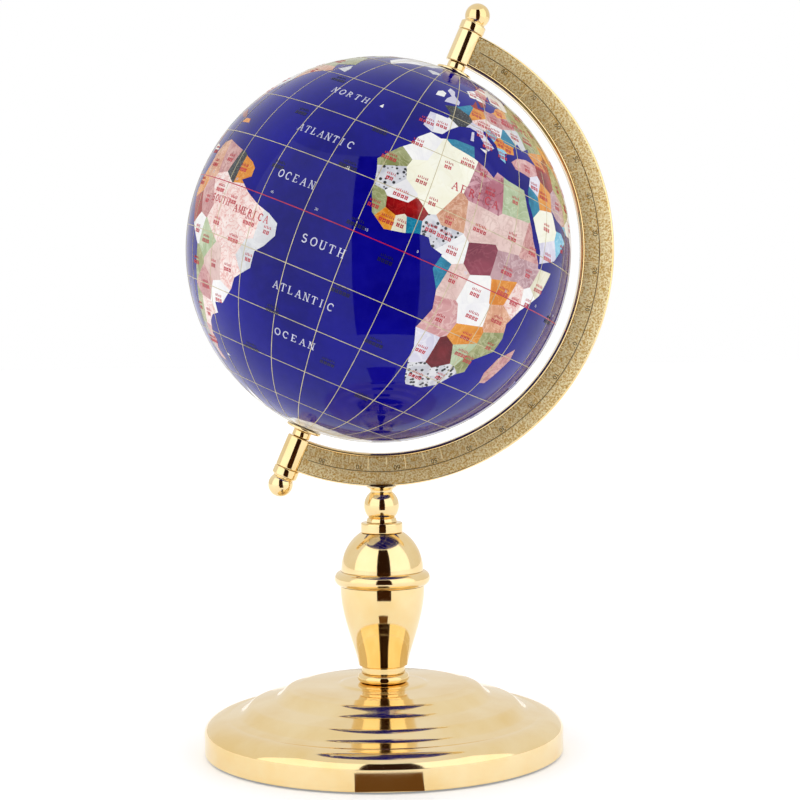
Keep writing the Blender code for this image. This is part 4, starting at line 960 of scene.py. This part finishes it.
EUROPE_SEEDS = [
    (-3.2, 40.2, "white_quartz"), (-8.7, 39.5, "moonstone"), (2.3, 46.9, "black_granite"),
    (10.2, 50.8, "orange_calcite"), (5.0, 51.6, "teal_howlite"), (12.0, 43.2, "moonstone"),
    (15.5, 40.2, "moonstone"), (14.0, 47.6, "streaked_pink"), (19.3, 52.0, "thulite"),
    (19.5, 47.0, "white_quartz"), (17.5, 44.8, "pale_turquoise"), (21.5, 43.2, "orange_calcite"),
    (22.3, 39.3, "pale_turquoise"), (25.2, 45.8, "teal_howlite"), (25.3, 42.7, "orange_calcite"),
    (31.0, 49.2, "pearl"), (28.0, 53.5, "thulite"), (25.0, 57.0, "orange_calcite"),
    (26.5, 63.5, "white_quartz"), (15.5, 62.5, "pink_marble"), (9.0, 61.0, "white_quartz"),
    (18.0, 68.5, "white_quartz"), (9.5, 56.0, "red_jasper"), (36.0, 56.0, "olive_jade"),
    (45.0, 61.0, "khaki_serpentine"), (40.5, 50.5, "olive_jade"), (52.0, 56.0, "khaki_serpentine"),
    (58.0, 64.0, "olive_jade"), (44.5, 42.6, "orange_calcite"),
]
ASIA = [
    (29.8, 40.8), (26.5, 38.5), (28.5, 36.7), (36.0, 36.4), (34.3, 31.3), (34.9, 28.1), (39.2, 21.3),
    (42.8, 16.3), (43.6, 12.8), (52.0, 15.7), (59.8, 22.5), (56.0, 24.6), (51.4, 24.4), (48.2, 29.9),
    (52.0, 27.8), (57.0, 26.9), (61.6, 25.1), (66.6, 25.2), (72.6, 21.0), (74.5, 13.5), (77.5, 8.1),
    (80.2, 14.0), (86.8, 20.8), (91.8, 22.3), (94.3, 16.2), (97.6, 16.3), (98.4, 9.5), (103.5, 1.5),
    (103.0, 6.0), (99.6, 10.5), (100.6, 13.4), (105.0, 8.8), (109.2, 12.5), (106.2, 19.0),
    (110.5, 21.3), (118.5, 24.5), (121.8, 30.0), (119.5, 35.0), (122.3, 37.0), (118.0, 38.8),
    (123.5, 40.0), (126.4, 34.6), (129.4, 36.6), (128.8, 41.0), (135.5, 44.2), (140.6, 50.0),
    (136.5, 54.4), (143.0, 59.2), (155.0, 59.3), (156.7, 51.2), (163.0, 58.0), (179.0, 62.8),
    (189.0, 66.0), (175.0, 69.6), (150.0, 71.6), (130.0, 71.4), (105.0, 77.4), (80.0, 72.8),
    (66.5, 68.2), (59.5, 63.0), (60.5, 56.0), (59.0, 50.9), (50.5, 51.4), (51.5, 47.0), (47.2, 44.8),
    (49.3, 41.6), (41.6, 41.8), (35.0, 42.0),
]
ASIA_SEEDS = [
    (35.0, 39.2, "pink_marble"), (38.0, 34.5, "moonstone"), (43.5, 33.0, "orange_calcite"),
    (35.6, 31.0, "teal_howlite"), (45.0, 24.0, "ivory_onyx"), (47.5, 16.0, "moonstone"),
    (57.0, 20.5, "pale_turquoise"), (54.0, 32.5, "grey_rose_quartz"), (47.0, 39.5, "red_jasper"),
    (58.5, 38.5, "olive_jade"), (67.0, 48.0, "orange_calcite"), (66.0, 34.0, "olive_jade"),
    (69.0, 28.5, "white_quartz"), (72.0, 39.5, "rhodonite"), (78.0, 24.0, "salmon_jasper"),
    (77.5, 14.5, "salmon_jasper"), (84.5, 27.8, "teal_howlite"), (90.5, 24.0, "red_jasper"),
    (96.0, 21.0, "orange_calcite"), (101.5, 15.5, "pearl"), (107.5, 14.0, "green_aventurine"),
    (101.5, 4.5, "orange_calcite"), (85.0, 40.0, "streaked_pink"), (90.0, 32.5, "pink_marble"),
    (103.0, 31.5, "rhodonite"), (113.0, 30.0, "streaked_pink"), (112.0, 24.5, "thulite"),
    (106.0, 38.5, "pink_marble"), (118.0, 35.5, "salmon_jasper"), (126.5, 46.0, "streaked_pink"),
    (103.0, 46.5, "white_quartz"), (127.3, 38.2, "olive_jade"), (75.0, 62.0, "khaki_serpentine"),
    (95.0, 62.0, "olive_jade"), (118.0, 60.0, "khaki_serpentine"), (140.0, 66.0, "olive_jade"),
    (167.0, 66.0, "khaki_serpentine"), (158.0, 56.0, "olive_jade"), (98.0, 72.5, "khaki_serpentine"),
    (135.0, 50.0, "khaki_serpentine"),
]
AUSTRALIA = [
    (114.0, -22.0), (115.7, -32.0), (118.0, -35.0), (124.0, -33.8), (131.0, -31.5), (137.8, -34.0),
    (140.0, -37.8), (146.5, -39.0), (150.0, -37.3), (153.2, -30.0), (152.8, -25.5), (146.0, -19.0),
    (142.5, -10.8), (140.8, -17.4), (135.8, -15.0), (136.6, -12.2), (131.5, -11.6), (129.0, -14.8),
    (122.3, -18.0),
]
AUSTRALIA_SEEDS = [
    (121.0, -26.0, "red_jasper"), (133.0, -19.5, "salmon_jasper"), (134.5, -29.5, "orange_calcite"),
    (144.0, -22.0, "red_jasper"), (146.5, -32.5, "garnet"), (145.0, -37.3, "teal_howlite"),
]
ANTARCTICA = [
    (0.0, -70.0), (20.0, -70.0), (40.0, -69.0), (55.0, -66.5), (75.0, -69.5), (95.0, -66.5),
    (115.0, -66.7), (135.0, -66.3), (152.0, -68.8), (168.0, -72.0), (172.0, -78.0), (202.0, -78.4),
    (230.0, -74.8), (255.0, -73.2), (285.0, -72.0), (297.0, -64.6), (300.0, -70.0), (302.0, -76.5),
    (322.0, -78.0), (340.0, -73.0),
]
ANTARCTICA_SEEDS = [
    (20.0, -78.0, "pearl"), (100.0, -76.0, "white_quartz"), (170.0, -85.0, "moonstone"),
    (260.0, -79.0, "pearl"), (294.0, -69.0, "white_quartz"),
]

# Small stones of one kind, grouped under the CAD node that they go with
ISLANDS = {
    "madagascar": ([
        (49.3, -12.0), (50.4, -15.5), (47.5, -24.8), (45.0, -25.4), (43.3, -22.0), (44.4, -16.5),
    ], "thulite"),
    "great_britain": ([
        (-5.4, 50.1), (1.2, 51.1), (1.5, 52.9), (-1.6, 55.0), (-2.0, 57.5), (-4.8, 58.5), (-5.8, 56.4),
        (-3.0, 54.2), (-4.8, 52.2),
    ], "moonstone"),
    "japan": ([
        (130.4, 31.4), (135.8, 33.6), (140.8, 35.5), (142.0, 39.6), (145.2, 43.3), (141.8, 45.4),
        (139.9, 41.6), (138.2, 37.6), (132.5, 35.5), (129.8, 33.2),
    ], "rhodonite"),
    "borneo": ([
        (109.0, 1.5), (110.5, -3.0), (116.0, -3.8), (118.8, 1.0), (119.0, 5.2), (116.8, 6.9),
    ], "olive_jade"),
    "new_guinea": ([
        (131.0, -1.0), (134.0, -4.0), (138.5, -8.3), (144.0, -7.8), (150.5, -10.5), (145.0, -4.3),
        (138.0, -1.6),
    ], "pink_marble"),
    "iceland": ([(-24.0, 65.4), (-18.5, 63.4), (-13.8, 65.0), (-16.0, 66.5), (-22.5, 66.4)], "pearl"),
    "ireland": ([(-10.2, 51.6), (-6.3, 52.2), (-6.0, 54.6), (-8.0, 55.2), (-10.0, 54.0)], "white_quartz"),
    "newfoundland": ([(-59.3, 47.7), (-53.2, 46.8), (-53.8, 49.4), (-56.2, 51.4)], "pearl"),
    "cuba": ([(-84.7, 21.9), (-77.5, 19.9), (-74.3, 20.2), (-80.0, 23.1)], "red_jasper"),
    "hispaniola": ([(-74.2, 18.3), (-68.6, 18.4), (-69.8, 19.8), (-73.2, 19.9)], "orange_calcite"),
    "sicily": ([(12.5, 37.9), (15.2, 36.8), (15.4, 38.1)], "white_quartz"),
    "sardinia": ([(8.4, 39.0), (9.7, 39.2), (9.5, 42.6), (8.5, 42.4)], "moonstone"),
    "sri_lanka": ([(79.9, 6.9), (81.7, 6.6), (81.0, 8.8), (80.0, 9.4)], "orange_calcite"),
    "sumatra": ([(95.4, 5.5), (100.4, -1.2), (104.2, -5.6), (105.8, -3.2), (101.0, 2.2)], "salmon_jasper"),
    "java": ([(105.4, -6.8), (114.4, -8.6), (112.5, -6.9), (108.5, -6.6)], "green_aventurine"),
    "sulawesi": ([(119.6, 0.2), (119.8, -5.4), (122.3, -4.6), (121.4, -1.2), (124.8, 1.2)], "orange_calcite"),
    "luzon": ([(120.3, 16.0), (123.8, 13.2), (121.6, 18.4)], "teal_howlite"),
    "mindanao": ([(122.2, 7.0), (126.0, 6.0), (125.6, 9.6)], "teal_howlite"),
    "taiwan": ([(120.2, 23.0), (120.9, 22.0), (121.8, 24.9)], "streaked_pink"),
    "sakhalin": ([(142.1, 46.1), (143.4, 49.2), (142.8, 54.2), (141.9, 51.5)], "khaki_serpentine"),
    "tasmania": ([(144.8, -40.8), (148.2, -41.0), (146.8, -43.5)], "teal_howlite"),
    "north_new_zealand": ([(173.0, -34.8), (178.4, -37.8), (175.3, -41.5), (173.9, -39.3)], "ivory_onyx"),
    "south_new_zealand": ([(172.6, -40.6), (174.2, -41.8), (170.4, -46.2), (167.0, -45.8)], "ivory_onyx"),
    "azores": ([(-26.2, 37.6), (-24.8, 37.4), (-25.3, 38.9)], "white_quartz"),
    "cape_verde": ([(-24.6, 15.2), (-23.2, 14.8), (-23.6, 16.2)], "white_quartz"),
    "svalbard": ([(12.0, 78.2), (17.0, 76.8), (25.0, 79.6), (14.0, 79.8)], "pearl"),
    "novaya_zemlya": ([(52.0, 71.0), (57.0, 71.0), (68.0, 76.6), (60.0, 76.0)], "khaki_serpentine"),
    "hawaii": ([(-156.2, 19.6), (-155.0, 19.2), (-155.4, 20.4)], "red_jasper"),
    "falklands": ([(-61.0, -52.0), (-58.0, -52.0), (-59.4, -51.2)], "white_quartz"),
}
TILE_SPACING = 2.4 * MM


def flattened(out, middle):
    """Azimuthal map about a middle direction: true distance and bearing from it, in radians."""
    across = np.cross([0.0, 1.0, 0.0], middle)
    across /= np.linalg.norm(across)
    up = np.cross(middle, across)
    x, y, z = out @ across, out @ up, out @ middle
    flat = np.hypot(x, y)
    angle = np.arctan2(flat, z)
    share = np.where(flat > 1e-9, angle / np.maximum(flat, 1e-9), 1.0)
    return np.stack([x * share, y * share], -1)


def lifted(flat, middle):
    """The directions whose flat map is given: the inverse of flattened."""
    across = np.cross([0.0, 1.0, 0.0], middle)
    across /= np.linalg.norm(across)
    up = np.cross(middle, across)
    angle = np.hypot(flat[:, 0], flat[:, 1])
    share = np.where(angle > 1e-9, np.sin(angle) / np.maximum(angle, 1e-9), 1.0)
    side = flat * share[:, None]
    return side[:, :1] * across + side[:, 1:] * up + np.cos(angle)[:, None] * middle


def divided(start, end, spacing):
    """Points evenly along a line, with both ends."""
    count = max(1, int(math.ceil(np.linalg.norm(end - start) / spacing)))
    share = np.linspace(0.0, 1.0, count + 1)[:, None]
    return start + (end - start) * share


def within(points, loop):
    """Which points lie inside a closed loop: a ray to the right crosses it an odd number of times."""
    ahead = np.roll(loop, -1, axis=0)
    x, y = points[:, :1], points[:, 1:]
    straddles = (loop[:, 1] > y) != (ahead[:, 1] > y)
    rise = np.where(ahead[:, 1] == loop[:, 1], 1e-12, ahead[:, 1] - loop[:, 1])
    crossing = loop[:, 0] + (y - loop[:, 1]) / rise * (ahead[:, 0] - loop[:, 0])
    return (straddles & (x < crossing)).sum(1) % 2 == 1


def tile_borders(seeds, half_size):
    """The straight borders between the ground of each pair of seeds.

    On the line half way between two seeds, each other seed bounds the stretch nearer to the pair.
    """
    borders = []
    for i in range(len(seeds)):
        for j in range(i + 1, len(seeds)):
            middle = (seeds[i] + seeds[j]) / 2.0
            along = np.array([seeds[i][1] - seeds[j][1], seeds[j][0] - seeds[i][0]])
            along /= np.linalg.norm(along)
            others = np.delete(seeds, [i, j], axis=0)
            slope = 2.0 * (others - seeds[i]) @ along
            room = (others**2).sum(1) - (seeds[i] ** 2).sum() - 2.0 * (others - seeds[i]) @ middle
            flat = np.abs(slope) < 1e-12
            if np.any(flat & (room < 0.0)):
                continue
            limit = room / np.where(flat, 1.0, slope)
            high = min([half_size] + list(limit[(slope > 0.0) & ~flat]))
            low = max([-half_size] + list(limit[(slope < 0.0) & ~flat]))
            if high > low:
                borders.append((middle + along * low, middle + along * high))
    return borders


def inlay(name, coast, seeds, stands_for):
    """Tiles that fill a coast, each cut on straight lines half way to its neighbours.

    The flat map is cut into triangles along the coast and the borders, then lifted to two radii, the
    polished top and the underside, and joined by walls along the coast.
    """
    around = directions(*np.array(coast).T)
    middle = around.sum(0) / np.linalg.norm(around.sum(0))
    loop = flattened(around, middle)
    spacing = TILE_SPACING / BALL
    ring = np.concatenate([divided(a, b, spacing)[:-1] for a, b in zip(loop, np.roll(loop, -1, axis=0))])
    seed_points = flattened(directions([s[0] for s in seeds], [s[1] for s in seeds]), middle)
    vertices = list(ring)
    edges = [(i, (i + 1) % len(ring)) for i in range(len(ring))]
    size = 2.0 * np.abs(loop).max()
    for start, end in tile_borders(seed_points, size):
        points = divided(start, end, spacing)
        first = len(vertices)
        vertices += list(points)
        edges += [(first + i, first + i + 1) for i in range(len(points) - 1)]
    low = loop.min(0)
    high = loop.max(0)
    grid_x, grid_y = np.meshgrid(np.arange(low[0], high[0], spacing), np.arange(low[1], high[1], spacing))
    grid = np.stack([grid_x.ravel(), grid_y.ravel()], -1)
    grid[:, 0] += np.where(np.arange(len(grid)) // grid_x.shape[1] % 2, spacing / 2.0, 0.0)
    grid = grid[within(grid, loop)]
    fixed = np.array(vertices)
    if len(grid):
        gap = np.sqrt(((grid[:, None] - fixed[None]) ** 2).sum(-1)).min(1)
        grid = grid[gap > 0.55 * spacing]
    vertices += list(grid)
    made = geometry.delaunay_2d_cdt([Vector(v) for v in vertices], edges, [], 0, 1e-7)
    flat = np.array([tuple(v) for v in made[0]])
    tiles = np.array([f for f in made[2] if len(f) == 3])
    centre = flat[tiles].mean(1)
    tiles = tiles[within(centre, loop)]
    centre = flat[tiles].mean(1)
    nearest = ((centre[:, None] - seed_points[None]) ** 2).sum(-1).argmin(1)

    flat, tiles = used(flat, tiles)
    out = lifted(flat, middle)
    top = BALL - STONE_DEPTH
    count = len(flat)
    points = np.concatenate([out * top, out * (top - STONE_THICKNESS)])
    a, b, c = (points[tiles[:, i]] for i in range(3))
    inwards = np.einsum("ij,ij->i", np.cross(b - a, c - a), a) < 0.0
    tiles[inwards] = tiles[inwards][:, ::-1]
    sides = np.concatenate([tiles[:, [0, 1]], tiles[:, [1, 2]], tiles[:, [2, 0]]])
    owners = np.tile(nearest, 3)
    key = np.sort(sides, axis=1) @ np.array([count, 1])
    _, where, times = np.unique(key, return_index=True, return_counts=True)
    rim = where[times == 1]
    wall = np.stack([sides[rim, 1], sides[rim, 0], sides[rim, 0] + count, sides[rim, 1] + count], -1)
    triangles = np.concatenate([tiles, tiles[:, ::-1] + count])
    faces = np.concatenate([np.concatenate([triangles, triangles[:, 2:]], 1), wall])
    owner = np.concatenate([nearest, nearest, owners[rim]])
    kinds = sorted({s[2] for s in seeds})
    piece = make_piece(
        name, placed(points, NORTH_AXES), faces, [STONES[k] for k in kinds], "globe", stands_for
    )
    kind_of_seed = np.array([kinds.index(s[2]) for s in seeds])
    piece.data.polygons.foreach_set("material_index", kind_of_seed[owner].astype(np.int32))
    number = (np.arange(len(seeds)) * 0.618034 + 0.11 * len(name)) % 1.0
    cut = piece.data.attributes.new("cut", "FLOAT", "FACE")
    cut.data.foreach_set("value", number[owner].astype(np.float32))
    return piece


inlay("africa", AFRICA, AFRICA_SEEDS, ["africa_stone"])
inlay("south_america", SOUTH_AMERICA, SOUTH_AMERICA_SEEDS, ["south_america_stone"])
inlay("north_america", NORTH_AMERICA, NORTH_AMERICA_SEEDS, ["north_america_stone"])
inlay("europe", EUROPE, EUROPE_SEEDS, ["europe_stone"])
inlay("asia", ASIA, ASIA_SEEDS, ["asia_stone"])
inlay("australia", AUSTRALIA, AUSTRALIA_SEEDS, ["australia_stone"])
inlay("antarctica", ANTARCTICA, ANTARCTICA_SEEDS, ["antarctica_stone"])
inlay("greenland", GREENLAND, [(-42.0, 74.0, "pearl"), (-45.0, 65.0, "white_quartz")],
      ["greenland_stone"])
for island, (coast, kind) in ISLANDS.items():
    stands = [f"{island}_stone"] if f"{island}_stone" in frame["nodes"] else []
    middle = np.mean(coast, axis=0)
    inlay(island, coast, [(middle[0], middle[1], kind)], stands)


# Wires let into the ball


def wire(longitude, latitude, closed, width=WIRE_WIDTH):
    out = directions(longitude, latitude)
    along = np.roll(out, -1, 0) - np.roll(out, 1, 0) if closed else np.gradient(out, axis=0)
    across = np.cross(out, along)
    across /= np.linalg.norm(across, axis=1)[:, None]
    return band(out * BALL, across, out, width, -0.5 * MM, -WIRE_DEPTH, closed)


def make_wires():
    """Meridians and parallels each fifteen degrees, as flat strips; the equator is its own wire."""
    circle = np.linspace(-180.0, 180.0, 288, endpoint=False)
    climb = np.linspace(-84.0, 84.0, 150)
    parallels = [wire(circle, np.full(288, float(lat)), True) for lat in range(-75, 76, 15) if lat]
    meridians = [wire(np.full(150, float(lon)), climb, False) for lon in range(-180, 180, 15)]
    points, faces = gathered(parallels)
    make_piece("parallel_wires", placed(points, NORTH_AXES), faces, [WIRE], "globe")
    points, faces = gathered(meridians)
    make_piece("meridian_wires", placed(points, NORTH_AXES), faces, [WIRE], "globe")
    points, faces = wire(circle, np.zeros(288), True, 0.32 * MM)
    make_piece("equator_wire", placed(points, NORTH_AXES), faces, [EQUATOR_WIRE], "globe")


make_wires()

# Names of oceans and continents: text, longitude, latitude, letter height and pitch in millimetres
OCEAN_NAMES = [
    ("NORTH", -38.8, 37.9, 2.8, 3.5), ("ATLANTIC", -35.6, 21.9, 2.8, 3.15),
    ("OCEAN", -36.4, 7.3, 2.8, 3.45), ("SOUTH", -21.3, -6.8, 3.0, 3.6),
    ("ATLANTIC", -22.3, -21.8, 2.8, 3.15), ("OCEAN", -21.6, -35.2, 2.8, 3.45),
    ("NORTH", -157.0, 37.0, 3.3, 3.6), ("PACIFIC", -157.0, 22.0, 3.3, 3.4),
    ("OCEAN", -157.0, 7.5, 3.3, 3.6), ("SOUTH", -127.0, -8.0, 3.3, 3.6),
    ("PACIFIC", -127.0, -22.5, 3.3, 3.4), ("OCEAN", -127.0, -37.0, 3.3, 3.6),
    ("INDIAN", 75.0, -22.0, 3.3, 3.4), ("OCEAN", 77.0, -37.0, 3.3, 3.6), ("ARCTIC", -170.0, 78.0, 2.6, 2.8),
]
LAND_NAMES = [
    ("AFRICA", 14.0, 22.8, 3.0, 3.4), ("SOUTH", -61.0, -5.2, 2.6, 2.6), ("AMERICA", -46.5, -6.0, 2.6, 2.7),
    ("NORTH", -108.0, 47.0, 3.0, 3.4), ("AMERICA", -100.0, 37.0, 3.0, 3.4), ("EUROPE", 35.0, 54.0, 2.4, 2.6),
    ("ASIA", 92.0, 47.5, 3.2, 4.2), ("AUSTRALIA", 133.5, -25.0, 2.4, 2.6),
]


def lettering(name, labels, material):
    parts = []
    for text, lon, lat, height, pitch in labels:
        strokes = written(text, height * MM, pitch * MM)
        parts += inked(strokes, lon, lat, BALL, -0.2 * MM, -0.002 * MM)
    points, faces = gathered(parts)
    make_piece(name, placed(points, NORTH_AXES), faces, [material], "globe")


def degree_numbers():
    """A small number beside each crossing of a meridian and the equator."""
    for lon in range(-180, 180, 15):
        yield (str(abs(lon)), lon + 3.2, 1.6, 0.9, 0.65)


lettering("ocean_names", OCEAN_NAMES + list(degree_numbers()), WHITE_INK)
lettering("land_names", LAND_NAMES, RED_INK)


def name_marks(lon, lat, letters, blocks):
    """Stand-in print: a row of thin strokes over a row of squarish marks, which spell nothing."""
    strokes = []
    for place in range(letters):
        x = (place - (letters - 1) / 2.0) * 0.70 * MM
        tall = (0.75 + 0.25 * (place * 7 % 3) / 2.0) * MM
        strokes.append((np.array([(x, 0.35 * MM), (x, 0.35 * MM + tall)]), 0.24 * MM))
        if place % 2 == 0:
            strokes.append((np.array([(x, 0.45 * MM), (x + 0.4 * MM, 0.45 * MM)]), 0.2 * MM))
    for place in range(blocks):
        x = (place - (blocks - 1) / 2.0) * 1.45 * MM
        for step in (-0.36, 0.36):
            strokes.append((np.array([(x + step * MM, -1.75 * MM), (x + step * MM, -0.35 * MM)]), 0.34 * MM))
        strokes.append((np.array([(x - 0.52 * MM, -0.75 * MM), (x + 0.52 * MM, -0.75 * MM)]), 0.3 * MM))
        strokes.append((np.array([(x - 0.52 * MM, -1.5 * MM), (x + 0.52 * MM, -1.5 * MM)]), 0.26 * MM))
    return inked(strokes, lon, lat, BALL, -0.2 * MM, -0.004 * MM)


DARK_STONES = ("red_jasper", "garnet", "mauve_jasper", "black_granite", "teal_howlite")
ALL_SEEDS = AFRICA_SEEDS + SOUTH_AMERICA_SEEDS + NORTH_AMERICA_SEEDS + EUROPE_SEEDS + ASIA_SEEDS
red_marks = []
for place, (lon, lat, kind) in enumerate(ALL_SEEDS + AUSTRALIA_SEEDS):
    if kind not in DARK_STONES:
        red_marks += name_marks(lon, lat, 5 + place % 3, 2 + place % 3)
points, faces = gathered(red_marks)
make_piece("land_marks", placed(points, NORTH_AXES), faces, [RED_INK], "globe")

dark_marks = []
for place, (lon, lat) in enumerate([
    (-49.0, 27.0), (-50.0, 43.0), (-21.0, 30.0), (-24.0, 16.5), (-44.0, 9.5), (-15.0, 2.5), (-4.0, -3.5),
    (-12.0, -16.0), (-31.0, -29.0), (3.0, -26.0), (-8.0, -38.0), (-40.0, -44.0), (10.0, -45.0),
    (60.0, 0.0), (88.0, -5.0), (150.0, 20.0), (-140.0, 12.0), (-110.0, -14.0), (165.0, -12.0), (160.0, -40.0),
]):
    dark_marks += name_marks(lon, lat, 7, 4 + place % 2)
points, faces = gathered(dark_marks)
make_piece("sea_marks", placed(points, NORTH_AXES), faces, [DARK_INK], "globe")


# CAD nodes that stay as they are, inside or under the rest

for node, material in {
    "base_weight": IRON,
    "rod_washer": STEEL,
    "rod_nut": STEEL,
    "tie_rod": STEEL,
    "arm_screw": STEEL,
    "core_north": PLASTIC,
    "core_south": PLASTIC,
    "core_seam_ring": PLASTIC,
}.items():
    slots = frame["nodes"][node].material_slots
    for place in slots:
        place.material = material


# Studio


def lamp_material(name, code, strength):
    material = bpy.data.materials.new(name)
    material.use_nodes = True
    tree = material.node_tree
    tree.nodes.clear()
    glow = add_node(tree, "ShaderNodeEmission", None, {"Color": paint(code), "Strength": strength})
    add_node(tree, "ShaderNodeOutputMaterial", None, {"Surface": glow.outputs["Emission"]})
    return material


def screen(name, from_azimuth, to_azimuth, distance, low, high, code, strength):
    """A curved screen round the globe: azimuth runs from the camera's side, -Y, towards +X."""
    azimuth = np.radians(np.linspace(from_azimuth, to_azimuth, 25))[:, None]
    level = np.linspace(low, high, 2)[None]
    x = distance * np.sin(azimuth) + 0.0 * level
    y = -distance * np.cos(azimuth) + 0.0 * level
    points = np.stack([x, y, level + 0.0 * azimuth], -1).reshape(-1, 3)
    index = np.arange(50).reshape(25, 2)
    faces = np.stack([index[:-1, 0], index[1:, 0], index[1:, 1], index[:-1, 1]], -1)
    piece = make_piece(name, points, faces, [lamp_material(name, code, strength)], None)
    piece.visible_camera = False
    return piece


def floor_card(name, from_azimuth, to_azimuth, near, far, code, forward=0.0):
    """A sector just above the floor, between two azimuths and two distances from a point before the middle.

    It shows only in reflections.
    """
    azimuth = np.radians(np.linspace(from_azimuth, to_azimuth, 25))[:, None]
    distance = np.array([[near, far]])
    x = distance * np.sin(azimuth)
    y = -forward - distance * np.cos(azimuth)
    points = np.stack([x, y, 0.0002 + 0.0 * x], -1).reshape(-1, 3)
    index = np.arange(50).reshape(25, 2)
    faces = np.stack([index[:-1, 0], index[:-1, 1], index[1:, 1], index[1:, 0]], -1)
    card = make_piece(name, points, faces, [lamp_material(name, code, 1.0)], None)
    card.visible_camera = False
    card.visible_diffuse = False
    card.visible_shadow = False


def make_studio():
    material, tree, place = new_material("white studio floor")
    mottle = grain(tree, place, 300.0 * MM)
    colour = blend_colours(tree, mottle, paint("#F6F6F6"), paint("#FAFAFA"))
    links = {"Base Color": colour, "Roughness": 0.6, "Emission Color": paint("#FFFFFF")}
    links["Emission Strength"] = 0.27
    finish_material(tree, links)
    side = 6.0
    points = np.array([(-side, -side, 0.0), (side, -side, 0.0), (side, side, 0.0), (-side, side, 0.0)])
    make_piece("studio_floor", points, np.array([[0, 1, 2, 3]]), [material], None)

    screen("left_softbox", -84.0, -16.0, 1.3, 0.05, 1.9, "#FFFFFF", 1.38)
    screen("right_softbox", 22.0, 84.0, 1.3, 0.05, 1.9, "#FFFFFF", 1.38)
    screen("dark_gap", -16.0, 22.0, 1.3, 0.0, 1.9, "#2A160C", 1.0)
    # The rim's wall is a round mirror, whose focus lies half way to its face
    _, _, _, rim = reach("base_shell")
    floor_card("far_card", -16.0, 22.0, 0.20, 1.3, "#3A2010")
    floor_card("near_card", -19.4, 21.1, rim / 2.0 + 0.0006, 0.072, "#6B4A28", rim / 2.0)

    world = bpy.data.worlds.new("studio")
    bpy.context.scene.world = world
    world.use_nodes = True
    tree = world.node_tree
    tree.nodes.clear()
    seen = add_node(tree, "ShaderNodeLightPath").outputs["Is Camera Ray"]
    direction = add_node(tree, "ShaderNodeTexCoord").outputs["Generated"]
    height = add_node(tree, "ShaderNodeSeparateXYZ", None, {0: direction}).outputs["Z"]
    share = spread(tree, height, -0.1, 0.9)
    around = blend_colours(tree, share, paint("#EFEBE4"), paint("#F2F2F4"))
    colour = blend_colours(tree, seen, around, paint("#FFFFFF"))
    glow = add_node(tree, "ShaderNodeBackground", None, {"Color": colour, "Strength": 1.0})
    add_node(tree, "ShaderNodeOutputWorld", None, {"Surface": glow.outputs["Background"]})


def make_camera():
    """A camera in front of the globe, turned by yaw, pitch and roll from looking along +Y."""
    yaw, pitch, roll = np.radians([1.679, -2.487, -0.63])
    forward = np.array([math.sin(yaw) * math.cos(pitch), math.cos(yaw) * math.cos(pitch), math.sin(pitch)])
    level = np.array([math.cos(yaw), -math.sin(yaw), 0.0])
    above = np.cross(level, forward)
    right = math.cos(roll) * level + math.sin(roll) * above
    up = -math.sin(roll) * level + math.cos(roll) * above
    data = bpy.data.cameras.new("camera")
    data.lens = 82.51
    data.sensor_width = 36.0
    data.clip_start = 0.01
    data.clip_end = 50.0
    camera = bpy.data.objects.new("camera", data)
    matrix = np.eye(4)
    matrix[:3, 0] = right
    matrix[:3, 1] = up
    matrix[:3, 2] = -forward
    matrix[:3, 3] = CENTRE + (-0.01335, -0.71926, -0.02718)
    camera.matrix_world = Matrix(matrix.tolist())
    bpy.context.scene.collection.objects.link(camera)
    bpy.context.scene.camera = camera


make_studio()
make_camera()
bpy.context.scene.view_settings.view_transform = "Standard"
